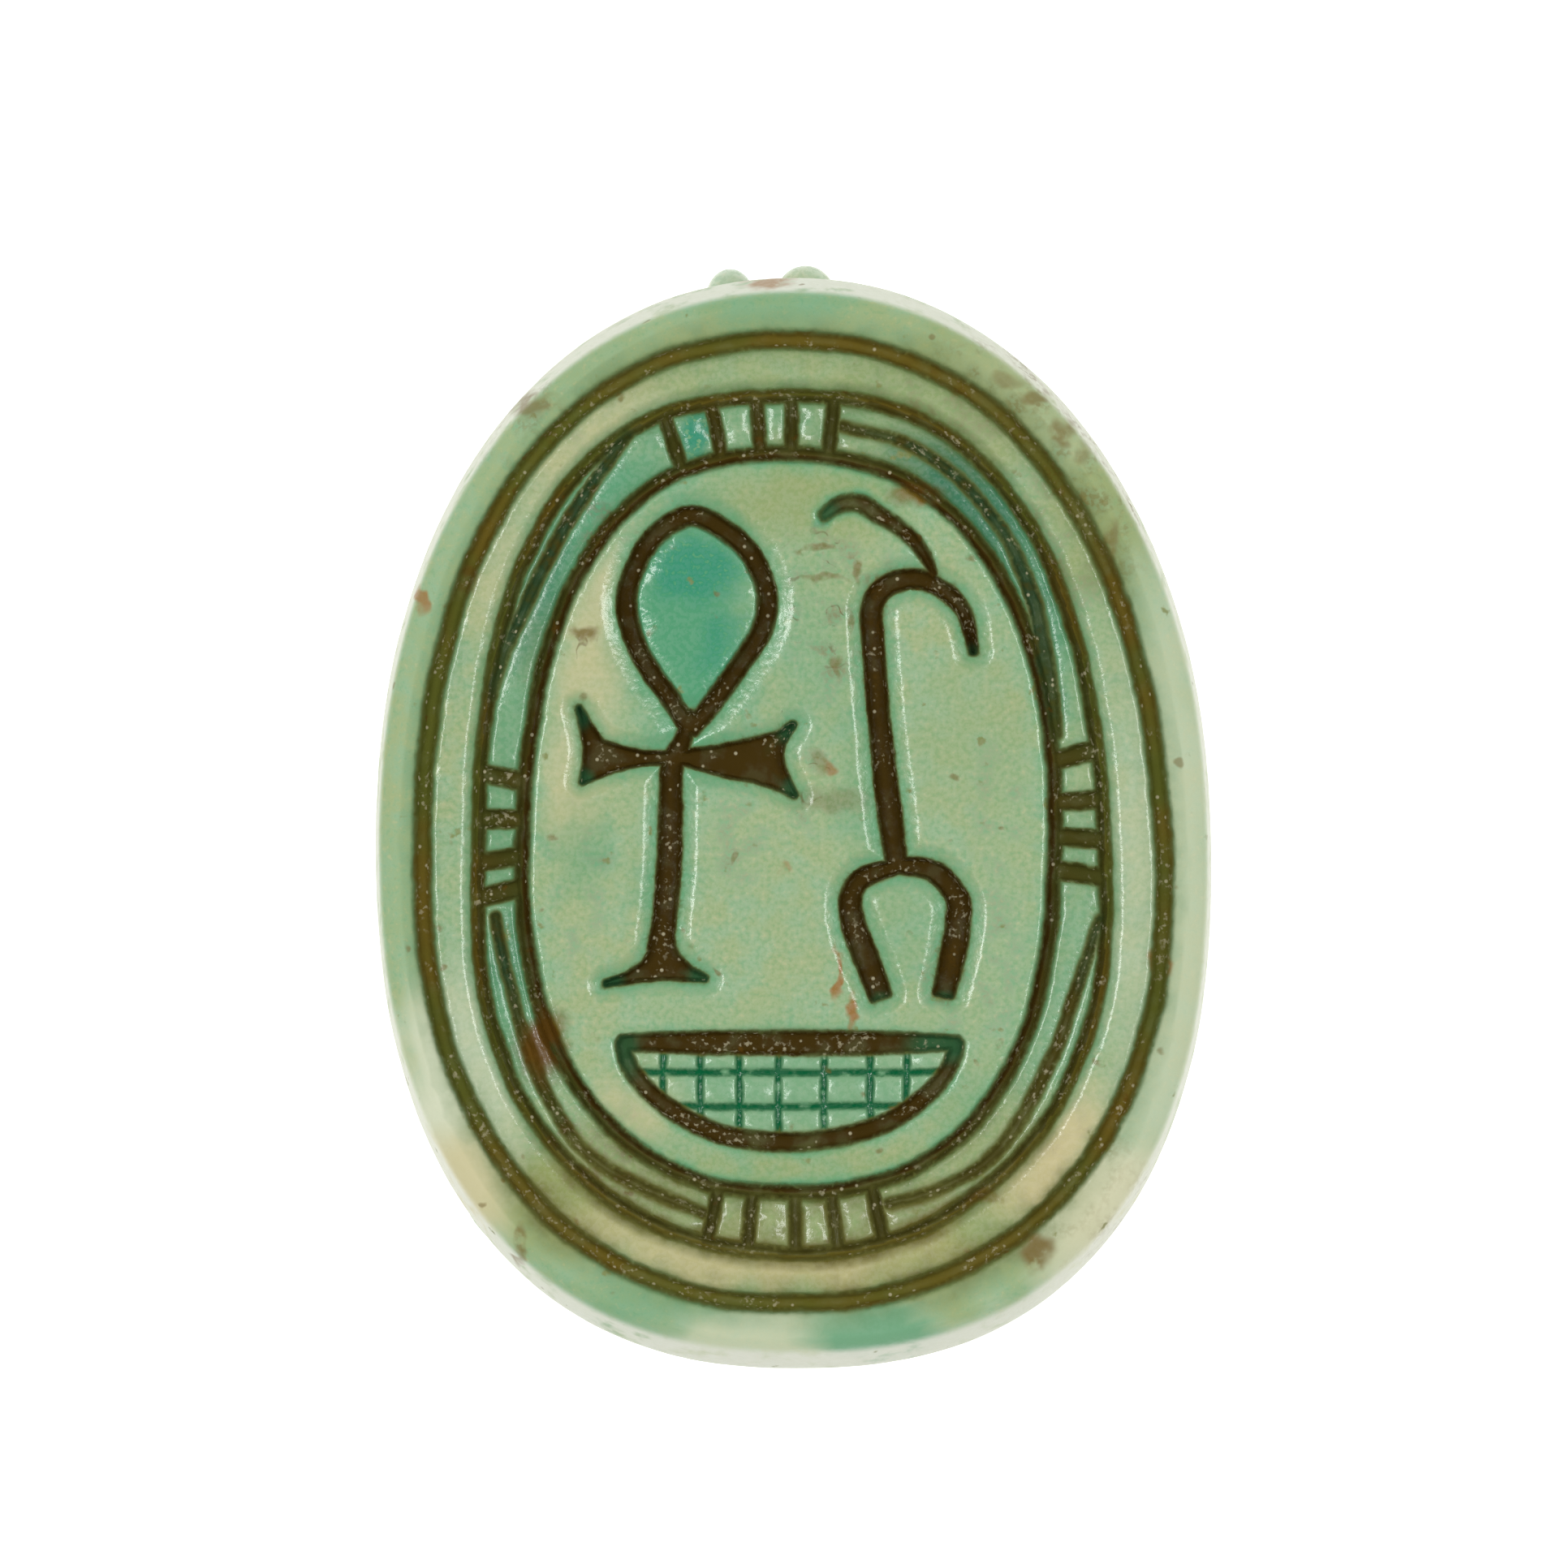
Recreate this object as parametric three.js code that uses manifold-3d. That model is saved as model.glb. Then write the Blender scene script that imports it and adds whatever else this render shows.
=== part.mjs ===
// Scarab seal: one piece of glazed soapstone, carved as a beetle on an oval base.
// Millimetres. It lies on the beetle's back with the engraved seal face up (+Z); +Y is the head end.
// The origin is under the middle of the piece, on the surface that it lies on.
import * as THREE from 'three';
import { mergeVertices } from 'three/addons/utils/BufferGeometryUtils.js';
import Module from 'manifold-3d';

const wasm = await Module();
wasm.setup();

// ---- driving dimensions ----
const HEIGHT = 7.6; // seal face to the flat rest spot on the back
const AROUND = 60; // facets round the body
const RING_FACETS = 60; // facets round each ring groove
// Threading hole; its axis lies at the depth below the seal face.
const BORE = { radius: 0.75, depth: 2.35, length: 20, facets: 18 };
const REST_SPOT = 0.27; // flat spot on the back, as a share of the back's outline
const BACK_SWELL = { side: 2.3, head: 1.75 }; // how full the back is: more is fuller
const BACK_EDGE = { side: 0.55, head: 0.72 }; // how steeply it starts at its shoulder: less is steeper
const SKIN = 0.3; // how far cutters reach past the surface they cut

// Ovals: middle, reach to each side, and the roundness of the four quarters
// (head right, head left, tail left, tail right); 2 is an ellipse and more is squarer.
const OUTLINE = {
  x: 0.04, y: -0.47, left: 6.48, right: 6.4, head: 8.8, tail: 7.99,
  quarters: [2.1, 2.14, 2.33, 2.41], turn: 0.6,
};
const OUTER_RING = {
  x: -0.03, y: -0.97, left: 5.67, right: 5.73, head: 8.33, tail: 6.49,
  quarters: [2.27, 2.24, 2.2, 2.19], turn: 1.85,
};
const MIDDLE_RING = {
  x: 0.11, y: -1.44, left: 4.96, right: 4.69, head: 7.94, tail: 5.25,
  quarters: [2.44, 2.73, 2.18, 2.07], turn: 0.34,
};
const INNER_RING = {
  x: -0.13, y: -0.52, left: 4.04, right: 4.15, head: 6.14, tail: 5.23,
  quarters: [2.26, 2.52, 2.24, 2.46], turn: -2.3,
};

// Body from the seal face down to the shoulder of the back: how far each level
// lies inside the outline at the sides, head and tail, and its depth below the face.
const LEVELS = [
  { side: 0.42, head: 0.46, tail: 0.5, depth: 0 },
  { side: 0.2, head: 0.3, tail: 0.36, depth: 0.07 },
  { side: 0.07, head: 0.22, tail: 0.26, depth: 0.24 },
  { side: 0, head: 0, tail: 0, depth: 0.95 },
  { side: 0.03, head: 0.03, tail: 0.03, depth: 1.25 },
  { side: 0.16, head: 0.16, tail: 0.16, depth: 1.4 },
  { side: 0.55, head: 0.6, tail: 0.55, depth: 1.48 },
  { side: 0.55, head: 0.62, tail: 0.55, depth: 2.2 },
  { side: 0.42, head: 0.5, tail: 0.42, depth: 3.0 },
];
const BACK_STEPS = [0.98, 0.94, 0.87, 0.78, 0.67, 0.55, 0.41, REST_SPOT]; // outline shares over the back

// Cuts in the seal face: widths of the floor and the mouth, and depth.
const RING_CUT = { floor: 0.2, mouth: 0.46, depth: 0.34 };
const BINDING_CUT = { floor: 0.1, mouth: 0.26, depth: 0.26 };
const STRAND_CUT = { floor: 0.06, mouth: 0.22, depth: 0.2 };
const EMBLEM_CUT = { floor: 0.26, mouth: 0.54, depth: 0.42 };
const EAR_CUT = { floor: 0.14, mouth: 0.34, depth: 0.26 };
const BASKET_CUT = { floor: 0.18, mouth: 0.38, depth: 0.34 };
const LATTICE_CUT = { floor: 0.05, mouth: 0.14, depth: 0.15 };
const BACK_CUT = { width: 0.26, depth: 0.22 }; // V cuts on the beetle's back: half width and depth

// ---- ovals ----
function ovalPoint(oval, angle) {
  const c = Math.cos(angle);
  const s = Math.sin(angle);
  const quarter = s >= 0 ? (c >= 0 ? 0 : 1) : (c < 0 ? 2 : 3);
  const power = 2 / oval.quarters[quarter];
  const px = Math.sign(c) * Math.abs(c) ** power * (c >= 0 ? oval.right : oval.left);
  const py = Math.sign(s) * Math.abs(s) ** power * (s >= 0 ? oval.head : oval.tail);
  const turn = THREE.MathUtils.degToRad(oval.turn);
  const middle = new THREE.Vector2(oval.x, oval.y);
  return middle.clone().add(new THREE.Vector2(px, py)).rotateAround(middle, turn);
}

function ovalLoop(oval, steps) {
  return Array.from({ length: steps }, (_, i) => ovalPoint(oval, (2 * Math.PI * i) / steps));
}

function inset(oval, side, head, tail) {
  const { left, right } = oval;
  return { ...oval, left: left - side, right: right - side, head: oval.head - head, tail: oval.tail - tail };
}

// Distance from a centre to the oval in one direction: that of the nearest of many points round it.
function ovalReach(oval, centre, direction) {
  const fine = ovalLoop(oval, 360);
  let best = Infinity;
  let reach = 0;
  for (const point of fine) {
    const arm = point.clone().sub(centre);
    const miss = Math.abs(Math.atan2(Math.sin(arm.angle() - direction), Math.cos(arm.angle() - direction)));
    if (miss < best) {
      best = miss;
      reach = arm.length();
    }
  }
  return reach;
}

// ---- closed solids ----
function solidFrom(positions, triangles) {
  const geometry = new THREE.BufferGeometry();
  geometry.setAttribute('position', new THREE.Float32BufferAttribute(positions, 3));
  geometry.setIndex(triangles);
  return geometry;
}

// Skin over a stack of loops with the same number of points, closed by a fan at each end.
function loft(loops) {
  const count = loops[0].length;
  const positions = loops.flat().flatMap((p) => [p.x, p.y, p.z]);
  const triangles = [];
  for (let level = 0; level + 1 < loops.length; level += 1) {
    for (let i = 0; i < count; i += 1) {
      const a = level * count + i;
      const b = level * count + ((i + 1) % count);
      triangles.push(a, a + count, b, b, a + count, b + count);
    }
  }
  for (const [level, flip] of [[0, false], [loops.length - 1, true]]) {
    const middle = new THREE.Vector3();
    loops[level].forEach((p) => middle.addScaledVector(p, 1 / count));
    const tip = positions.length / 3;
    positions.push(middle.x, middle.y, middle.z);
    for (let i = 0; i < count; i += 1) {
      const a = level * count + i;
      const b = level * count + ((i + 1) % count);
      triangles.push(...(flip ? [tip, b, a] : [tip, a, b]));
    }
  }
  return solidFrom(positions, triangles);
}

function toManifold(geometry) {
  const bare = geometry.clone();
  bare.deleteAttribute('normal');
  bare.deleteAttribute('uv');
  const merged = mergeVertices(bare, 1e-5);
  const mesh = new wasm.Mesh({
    numProp: 3,
    vertProperties: new Float32Array(merged.attributes.position.array),
    triVerts: new Uint32Array(merged.index.array),
  });
  return new wasm.Manifold(mesh);
}

function fromManifold(solid) {
  const mesh = solid.getMesh();
  const geometry = new THREE.BufferGeometry();
  geometry.setAttribute('position', new THREE.BufferAttribute(mesh.vertProperties, 3));
  geometry.setIndex(new THREE.BufferAttribute(mesh.triVerts, 1));
  return geometry;
}

const join = (solids) => solids.reduce((whole, next) => whole.add(next));

// ---- the back of the beetle ----
const SHOULDER = LEVELS[LEVELS.length - 1];
const BACK_OVAL = inset(OUTLINE, SHOULDER.side, SHOULDER.head, SHOULDER.tail);
const BACK_MIDDLE = new THREE.Vector2(OUTLINE.x, OUTLINE.y);

// Depth below the seal face of the back, at a share of its outline in one direction:
// full at the sides and tail, and falling more gently towards the head.
function backDepth(share, direction) {
  const headward = Math.max(0, Math.sin(direction)) ** 2;
  const u = THREE.MathUtils.clamp((share - REST_SPOT) / (1 - REST_SPOT), 0, 1);
  const swell = THREE.MathUtils.lerp(BACK_SWELL.side, BACK_SWELL.head, headward);
  const edge = THREE.MathUtils.lerp(BACK_EDGE.side, BACK_EDGE.head, headward);
  return SHOULDER.depth + (HEIGHT - SHOULDER.depth) * (1 - u ** swell) ** edge;
}

function backPoint(x, y) {
  const arm = new THREE.Vector2(x, y).sub(BACK_MIDDLE);
  const share = arm.length() / ovalReach(BACK_OVAL, BACK_MIDDLE, arm.angle());
  return new THREE.Vector3(x, y, HEIGHT - backDepth(share, arm.angle()));
}

function makeBody() {
  const loops = LEVELS.map(({ side, head, tail, depth }) => ovalLoop(inset(OUTLINE, side, head, tail), AROUND)
    .map((p) => new THREE.Vector3(p.x, p.y, HEIGHT - depth)));
  const rim = ovalLoop(BACK_OVAL, AROUND);
  for (const share of BACK_STEPS) {
    loops.push(rim.map((p) => {
      const arm = p.clone().sub(BACK_MIDDLE);
      const depth = share === REST_SPOT ? HEIGHT : backDepth(share, arm.angle());
      arm.multiplyScalar(share).add(BACK_MIDDLE);
      return new THREE.Vector3(arm.x, arm.y, HEIGHT - depth);
    }));
  }
  return toManifold(loft(loops));
}

// ---- legs in relief round the side ----
// Each leg: angle from the beetle's flank towards its head and depth below the seal face at three
// places, its width, and how far it stands out along its run.
const LEGS = [
  { start: [44, 3.05], bend: [66, 2.75], end: [80, 1.85], width: 0.95, rise: [0.44, 0.4] },
  { start: [40, 3.0], bend: [22, 2.55], end: [5, 1.7], width: 0.85, rise: [0.44, 0.4] },
  { start: [10, 3.05], bend: [-28, 2.7], end: [-72, 1.75], width: 0.9, rise: [0.3, 0.34, 0.44, 0.76, 0.68] },
];
const LEG_TAPER = [0.5, 0.42, 0.28]; // half width along a leg, as a share of its width
const LEG_TIP = 0.6; // share of its section that a leg keeps at its two ends
const LEG_STEPS = 8;
const LEG_SIDES = 6;

// A value at a share of the way along a list of evenly spaced ones.
function valueAlong(values, share) {
  const at = share * (values.length - 1);
  const low = Math.min(Math.floor(at), values.length - 2);
  return THREE.MathUtils.lerp(values[low], values[low + 1], at - low);
}

function sidePoint(direction, depth) {
  const upper = LEVELS.findLastIndex((level) => level.depth <= depth);
  const a = LEVELS[Math.min(upper, LEVELS.length - 2)];
  const b = LEVELS[Math.min(upper, LEVELS.length - 2) + 1];
  const mix = Math.min(1, (depth - a.depth) / (b.depth - a.depth));
  const between = (key) => THREE.MathUtils.lerp(a[key], b[key], mix);
  const level = inset(OUTLINE, between('side'), between('head'), between('tail'));
  const reach = ovalReach(level, BACK_MIDDLE, direction);
  const out = new THREE.Vector3(Math.cos(direction), Math.sin(direction), 0);
  return out.multiplyScalar(reach).add(new THREE.Vector3(BACK_MIDDLE.x, BACK_MIDDLE.y, HEIGHT - depth));
}

function makeLeg({ start, bend, end, width, rise }, mirrored) {
  const stations = [start, bend, end].map(([angle, depth]) => new THREE.Vector2(angle, depth));
  const route = new THREE.QuadraticBezierCurve(...stations);
  const loops = [];
  const centres = Array.from({ length: LEG_STEPS + 1 }, (_, i) => {
    const { x: angle, y: depth } = route.getPoint(i / LEG_STEPS);
    return sidePoint(THREE.MathUtils.degToRad(mirrored ? 180 - angle : angle), depth);
  });
  centres.forEach((centre, i) => {
    const ahead = centres[Math.min(i + 1, LEG_STEPS)].clone().sub(centres[Math.max(i - 1, 0)]).normalize();
    const out = new THREE.Vector3(centre.x - BACK_MIDDLE.x, centre.y - BACK_MIDDLE.y, 0).normalize();
    const across = ahead.clone().cross(out).normalize();
    const size = i === 0 || i === LEG_STEPS ? LEG_TIP : 1;
    const half = valueAlong(LEG_TAPER, i / LEG_STEPS) * width * size;
    const reach = valueAlong(rise, i / LEG_STEPS) * size;
    loops.push(Array.from({ length: LEG_SIDES }, (_, k) => {
      const turn = (2 * Math.PI * k) / LEG_SIDES;
      return centre.clone()
        .addScaledVector(across, Math.cos(turn) * half)
        .addScaledVector(out, Math.sin(turn) * reach);
    }));
  });
  return toManifold(loft(loops));
}

// ---- head: a shield whose teeth reach past the base, and eyes ----
const HEAD_X = -0.38;
const SHIELD = { y: 6.45, width: 2.5, reach: 1.8, rise: 0.8, depth: 3.5 };
const TEETH = [
  { x: -0.6, y: 8.06, width: 0.38, reach: 0.48 },
  { x: 0.57, y: 8.06, width: 0.48, reach: 0.53 },
  { x: -1.7, y: 7.45, width: 0.42, reach: 0.48 },
  { x: 1.74, y: 7.68, width: 0.44, reach: 0.52 },
];
const TOOTH = { rise: 0.42, depth: 3.45 };
const EYES = { x: 2.15, y: 5.9, radius: 0.5, rise: 0.35 };
const LUMP_FACETS = [10, 6]; // round and from top to bottom

function makeLump(x, y, depth, width, reach, rise) {
  const lump = new THREE.SphereGeometry(1, ...LUMP_FACETS);
  lump.scale(width, reach, rise);
  lump.translate(x, y, HEIGHT - depth);
  return toManifold(lump);
}

function makeHead() {
  const shield = makeLump(HEAD_X, SHIELD.y, SHIELD.depth, SHIELD.width, SHIELD.reach, SHIELD.rise);
  const teeth = TEETH.map(
    ({ x, y, width, reach }) => makeLump(HEAD_X + x, y, TOOTH.depth, width, reach, TOOTH.rise),
  );
  const eyes = [-1, 1].map((side) => {
    const at = backPoint(HEAD_X + side * EYES.x, EYES.y);
    return makeLump(at.x, at.y, HEIGHT - at.z, EYES.radius, EYES.radius, EYES.rise);
  });
  return join([shield, ...teeth, ...eyes]);
}

// ---- cuts ----
// A trench along a path on the seal face: flat floor, sloping walls.
function makeTrench(path, { floor, mouth, depth }, closed = false) {
  const count = path.length;
  const slope = (mouth - floor) / depth;
  const bottom = HEIGHT - depth;
  const sections = path.map((point, i) => {
    const before = closed ? path[(i + count - 1) % count] : path[Math.max(i - 1, 0)];
    const after = closed ? path[(i + 1) % count] : path[Math.min(i + 1, count - 1)];
    const left = after.clone().sub(before).normalize().rotateAround(new THREE.Vector2(), Math.PI / 2);
    const corner = (offset, z) => new THREE.Vector3(point.x + left.x * offset, point.y + left.y * offset, z);
    const wide = (mouth + slope * SKIN) / 2;
    return [
      corner(-floor / 2, bottom), corner(-wide, HEIGHT + SKIN),
      corner(wide, HEIGHT + SKIN), corner(floor / 2, bottom),
    ];
  });
  if (!closed) return toManifold(loft(sections));
  const positions = sections.flat().flatMap((p) => [p.x, p.y, p.z]);
  const triangles = [];
  for (let i = 0; i < count; i += 1) {
    for (let k = 0; k < 4; k += 1) {
      const a = i * 4 + k;
      const b = i * 4 + ((k + 1) % 4);
      const c = ((i + 1) % count) * 4 + k;
      const d = ((i + 1) % count) * 4 + ((k + 1) % 4);
      triangles.push(a, c, b, b, c, d);
    }
  }
  return toManifold(solidFrom(positions, triangles));
}

// A stroke through a few points; its ends are square.
function makeStroke(points, size, steps) {
  const curve = new THREE.SplineCurve(points.map(([x, y]) => new THREE.Vector2(x, y)));
  return makeTrench(curve.getSpacedPoints(steps), size);
}

// A flat-floored pocket inside an outline.
function makePocket(points, depth) {
  const shape = new THREE.Shape(points.map(([x, y]) => new THREE.Vector2(x, y)));
  const pocket = new THREE.ExtrudeGeometry(shape, { depth: depth + SKIN, bevelEnabled: false });
  pocket.translate(0, 0, HEIGHT - depth);
  return toManifold(pocket);
}

// A V cut along a path on the beetle's back.
function makeScore(points, { width, depth }, steps) {
  const curve = new THREE.SplineCurve(points.map(([x, y]) => new THREE.Vector2(x, y)));
  const path = curve.getSpacedPoints(steps).map((p) => backPoint(p.x, p.y));
  const loops = path.map((point, i) => {
    const ahead = path[Math.min(i + 1, steps)].clone().sub(path[Math.max(i - 1, 0)]).normalize();
    const nearby = 0.05;
    const towardX = backPoint(point.x + nearby, point.y).sub(backPoint(point.x - nearby, point.y));
    const towardY = backPoint(point.x, point.y + nearby).sub(backPoint(point.x, point.y - nearby));
    const out = towardY.cross(towardX).normalize();
    const across = ahead.clone().cross(out).normalize();
    const top = point.clone().addScaledVector(out, depth);
    return [
      top.clone().addScaledVector(across, -width),
      point.clone().addScaledVector(out, -depth),
      top.clone().addScaledVector(across, width),
    ];
  });
  return toManifold(loft(loops));
}

// ---- seal face: three rings with a bound cord between the inner two ----
const SEAL_MIDDLE = new THREE.Vector2(0, -0.1);
// Angles of the bindings round the cord, in four groups.
const BINDINGS = [
  84.5, 90.3, 95, 101, 107.4,
  170.6, 178.8, 186.6, 193,
  258.3, 263.8, 270.4, 276, 282.3,
  350.3, 357.4, 5, 14,
];
// Where the cord's strands cross: angle, and share of the way from the middle ring to the inner one.
const STRANDS = [
  [[83, 0.47], [74, 0.46], [64, 0.47], [55, 0.5], [48, 0.56], [42, 0.62], [36, 0.74], [28, 0.84], [19, 0.92]],
  [[113, 0.04], [120, 0.28], [130, 0.37], [140, 0.33], [149, 0.17], [157, 0.06]],
  [[197, 0.38], [208, 0.52], [220, 0.52], [229, 0.43], [237, 0.36], [246, 0.46], [257, 0.5]],
  [[284, 0.6], [292, 0.46], [302, 0.34], [318, 0.42], [328, 0.41], [337, 0.26], [343, 0.12]],
];

function bandPoint(degrees, across) {
  const direction = THREE.MathUtils.degToRad(degrees);
  const outer = ovalReach(MIDDLE_RING, SEAL_MIDDLE, direction);
  const inner = ovalReach(INNER_RING, SEAL_MIDDLE, direction);
  const reach = THREE.MathUtils.lerp(outer, inner, across);
  return [SEAL_MIDDLE.x + reach * Math.cos(direction), SEAL_MIDDLE.y + reach * Math.sin(direction)];
}

function makeBorder() {
  const rings = [OUTER_RING, MIDDLE_RING, INNER_RING]
    .map((ring) => makeTrench(ovalLoop(ring, RING_FACETS), RING_CUT, true));
  const bindings = BINDINGS.map(
    (angle) => makeStroke([bandPoint(angle, 0), bandPoint(angle, 1)], BINDING_CUT, 1),
  );
  const strands = STRANDS.map((strand) => makeStroke(strand.map((p) => bandPoint(...p)), STRAND_CUT, 10));
  return join([...rings, ...bindings, ...strands]);
}

// ---- seal face: looped cross, forked staff and basket ----
const LOOP_LEFT = [
  [-1.58, 1.38], [-2.18, 2.23], [-2.49, 2.87], [-2.56, 3.51], [-2.3, 4.14], [-1.9, 4.53], [-1.5, 4.66],
];
const LOOP_RIGHT = [
  [-1.52, 4.66], [-1.03, 4.43], [-0.62, 4.02], [-0.4, 3.44], [-0.5, 2.85], [-0.87, 2.28], [-1.58, 1.38],
];
const CROSS_STEM = [[-1.58, 1.6], [-1.7, 1.2], [-1.86, 0.75], [-1.91, -0.8], [-2.02, -1.8], [-2.07, -2.25]];
const CROSS_ARMS = [
  [-3.31, 1.73], [-3.11, 1.42], [-2.94, 1.2], [-2.64, 1.1], [-2.3, 1.02], [-1.9, 1.01], [-1.55, 1.05],
  [-0.84, 1.19], [-0.19, 1.34], [0.02, 1.47], [-0.15, 1.17], [-0.19, 1], [-0.15, 0.78], [0.04, 0.33],
  [-0.32, 0.48], [-1.01, 0.67], [-1.65, 0.84], [-2.3, 0.85], [-2.73, 0.76], [-3.03, 0.65], [-3.27, 0.54],
  [-3.2, 0.91], [-3.21, 1.17],
];
const CROSS_FOOT = [
  [-2.14, -1.7], [-2.2, -2.1], [-2.5, -2.36], [-2.91, -2.54], [-2, -2.45], [-1.33, -2.46], [-1.62, -2.28],
  [-1.84, -2], [-1.87, -1.7],
];
const STAFF = [
  [1.57, -0.65], [1.42, 0.6], [1.31, 1.75], [1.22, 2.8], [1.22, 3.3],
  [1.47, 3.6], [1.92, 3.69], [2.35, 3.5], [2.62, 3.2], [2.75, 2.6],
];
const STAFF_EAR = [
  [0.46, 4.66], [0.72, 4.83], [1.02, 4.85], [1.32, 4.67], [1.66, 4.46], [1.91, 4.21], [2.15, 3.78],
];
const FORK_LEFT = [[1.6, -0.72], [1.06, -0.92], [0.88, -1.25], [0.96, -1.7], [1.17, -2.27], [1.34, -2.72]];
const FORK_RIGHT = [[1.5, -0.7], [2.15, -0.8], [2.5, -1.18], [2.54, -1.55], [2.44, -2.15], [2.32, -2.68]];
// The basket's rim and the bow under it; swell and edge shape the bow as they do the back.
const BASKET = { left: -2.62, right: 2.52, rim: -3.45, bottom: -4.97, middle: -0.05, swell: 2.2, edge: 0.62 };
const BOW_STEPS = 14;
const LATTICE_DOWN = [-2, -1.43, -0.83, -0.23, 0.47, 1.18, 1.74];
const LATTICE_ACROSS = [-3.9, -4.42];

// How far the basket reaches from its middle towards the end that has this sign.
const basketHalf = (sign) => (sign < 0 ? BASKET.middle - BASKET.left : BASKET.right - BASKET.middle);

// Height of the basket's lower line at x: a bow between its two ends.
function basketBow(x) {
  const away = x - BASKET.middle;
  const t = Math.min(1, Math.abs(away) / basketHalf(away));
  return BASKET.rim + (BASKET.bottom - BASKET.rim) * (1 - t ** BASKET.swell) ** BASKET.edge;
}

function makeBasket() {
  const bow = Array.from({ length: BOW_STEPS + 1 }, (_, i) => {
    const swing = -Math.cos((Math.PI * i) / BOW_STEPS);
    const x = BASKET.middle + swing * basketHalf(swing);
    return new THREE.Vector2(x, basketBow(x));
  });
  const cuts = [
    makeStroke([[BASKET.left, BASKET.rim], [BASKET.right, BASKET.rim]], BASKET_CUT, 1),
    makeTrench(bow, BASKET_CUT),
  ];
  for (const x of LATTICE_DOWN) cuts.push(makeStroke([[x, BASKET.rim], [x, basketBow(x)]], LATTICE_CUT, 1));
  for (const y of LATTICE_ACROSS) {
    const drop = (y - BASKET.rim) / (BASKET.bottom - BASKET.rim);
    const share = (1 - drop ** (1 / BASKET.edge)) ** (1 / BASKET.swell);
    const ends = [-1, 1].map((sign) => [BASKET.middle + sign * share * basketHalf(sign), y]);
    cuts.push(makeStroke(ends, LATTICE_CUT, 1));
  }
  return join(cuts);
}

function makeEmblems() {
  return join([
    makeStroke(LOOP_LEFT, EMBLEM_CUT, 10),
    makeStroke(LOOP_RIGHT, EMBLEM_CUT, 10),
    makeStroke(CROSS_STEM, EMBLEM_CUT, 5),
    makePocket(CROSS_ARMS, EMBLEM_CUT.depth),
    makePocket(CROSS_FOOT, EMBLEM_CUT.depth),
    makeStroke(STAFF, EMBLEM_CUT, 14),
    makeStroke(STAFF_EAR, EAR_CUT, 8),
    makeStroke(FORK_LEFT, EMBLEM_CUT, 9),
    makeStroke(FORK_RIGHT, EMBLEM_CUT, 9),
    makeBasket(),
  ]);
}

// ---- back: lines between head, thorax and wing cases; threading hole ----
const BACK_LINES = [
  [[-5.3, 1.2], [-3, 1.75], [0, 1.95], [3, 1.75], [5.3, 1.2]],
  [[0, 1.9], [0.02, -2], [0.04, -7.4]],
  [[-3.6, 5.2], [-1.9, 4.5], [-0.38, 4.35], [1.2, 4.5], [3, 5.2]],
  [[-1.7, 4.55], [-1.75, 5.6], [-1.35, 6.6]],
  [[0.95, 4.55], [1, 5.6], [0.6, 6.6]],
  [[-4.6, 3.3], [-3.9, 2.4], [-3.3, 1.75]],
  [[4.6, 3.3], [3.9, 2.4], [3.3, 1.75]],
];

function makeBackCuts() {
  return join(BACK_LINES.map((line) => makeScore(line, BACK_CUT, line.length * 2)));
}

function makeBore() {
  const bore = new THREE.CylinderGeometry(BORE.radius, BORE.radius, BORE.length, BORE.facets);
  bore.translate(0, 0, HEIGHT - BORE.depth);
  return toManifold(bore);
}

// ---- the piece ----
function makeScarab() {
  const legs = LEGS.flatMap((leg) => [makeLeg(leg, false), makeLeg(leg, true)]);
  const uncut = join([makeBody(), ...legs, makeHead()]);
  const cut = join([makeBorder(), makeEmblems(), makeBackCuts(), makeBore()]);
  return fromManifold(uncut.subtract(cut));
}

const LENGTH_MIDDLE = 0.065; // the piece's middle, forward of the point that the carving is laid out from
const glaze = new THREE.MeshStandardMaterial({ color: '#96b48a', roughness: 0.35, metalness: 0 });
const scarab = new THREE.Mesh(makeScarab(), glaze);
scarab.name = 'scarab';
scarab.position.set(0, -LENGTH_MIDDLE, 0);

const seal = new THREE.Group();
seal.name = 'scarab_seal';
seal.add(scarab);

export default seal;
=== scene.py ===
"""Scarab seal: a glazed soapstone beetle lying on its back, with its engraved seal face up."""
import math

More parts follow.
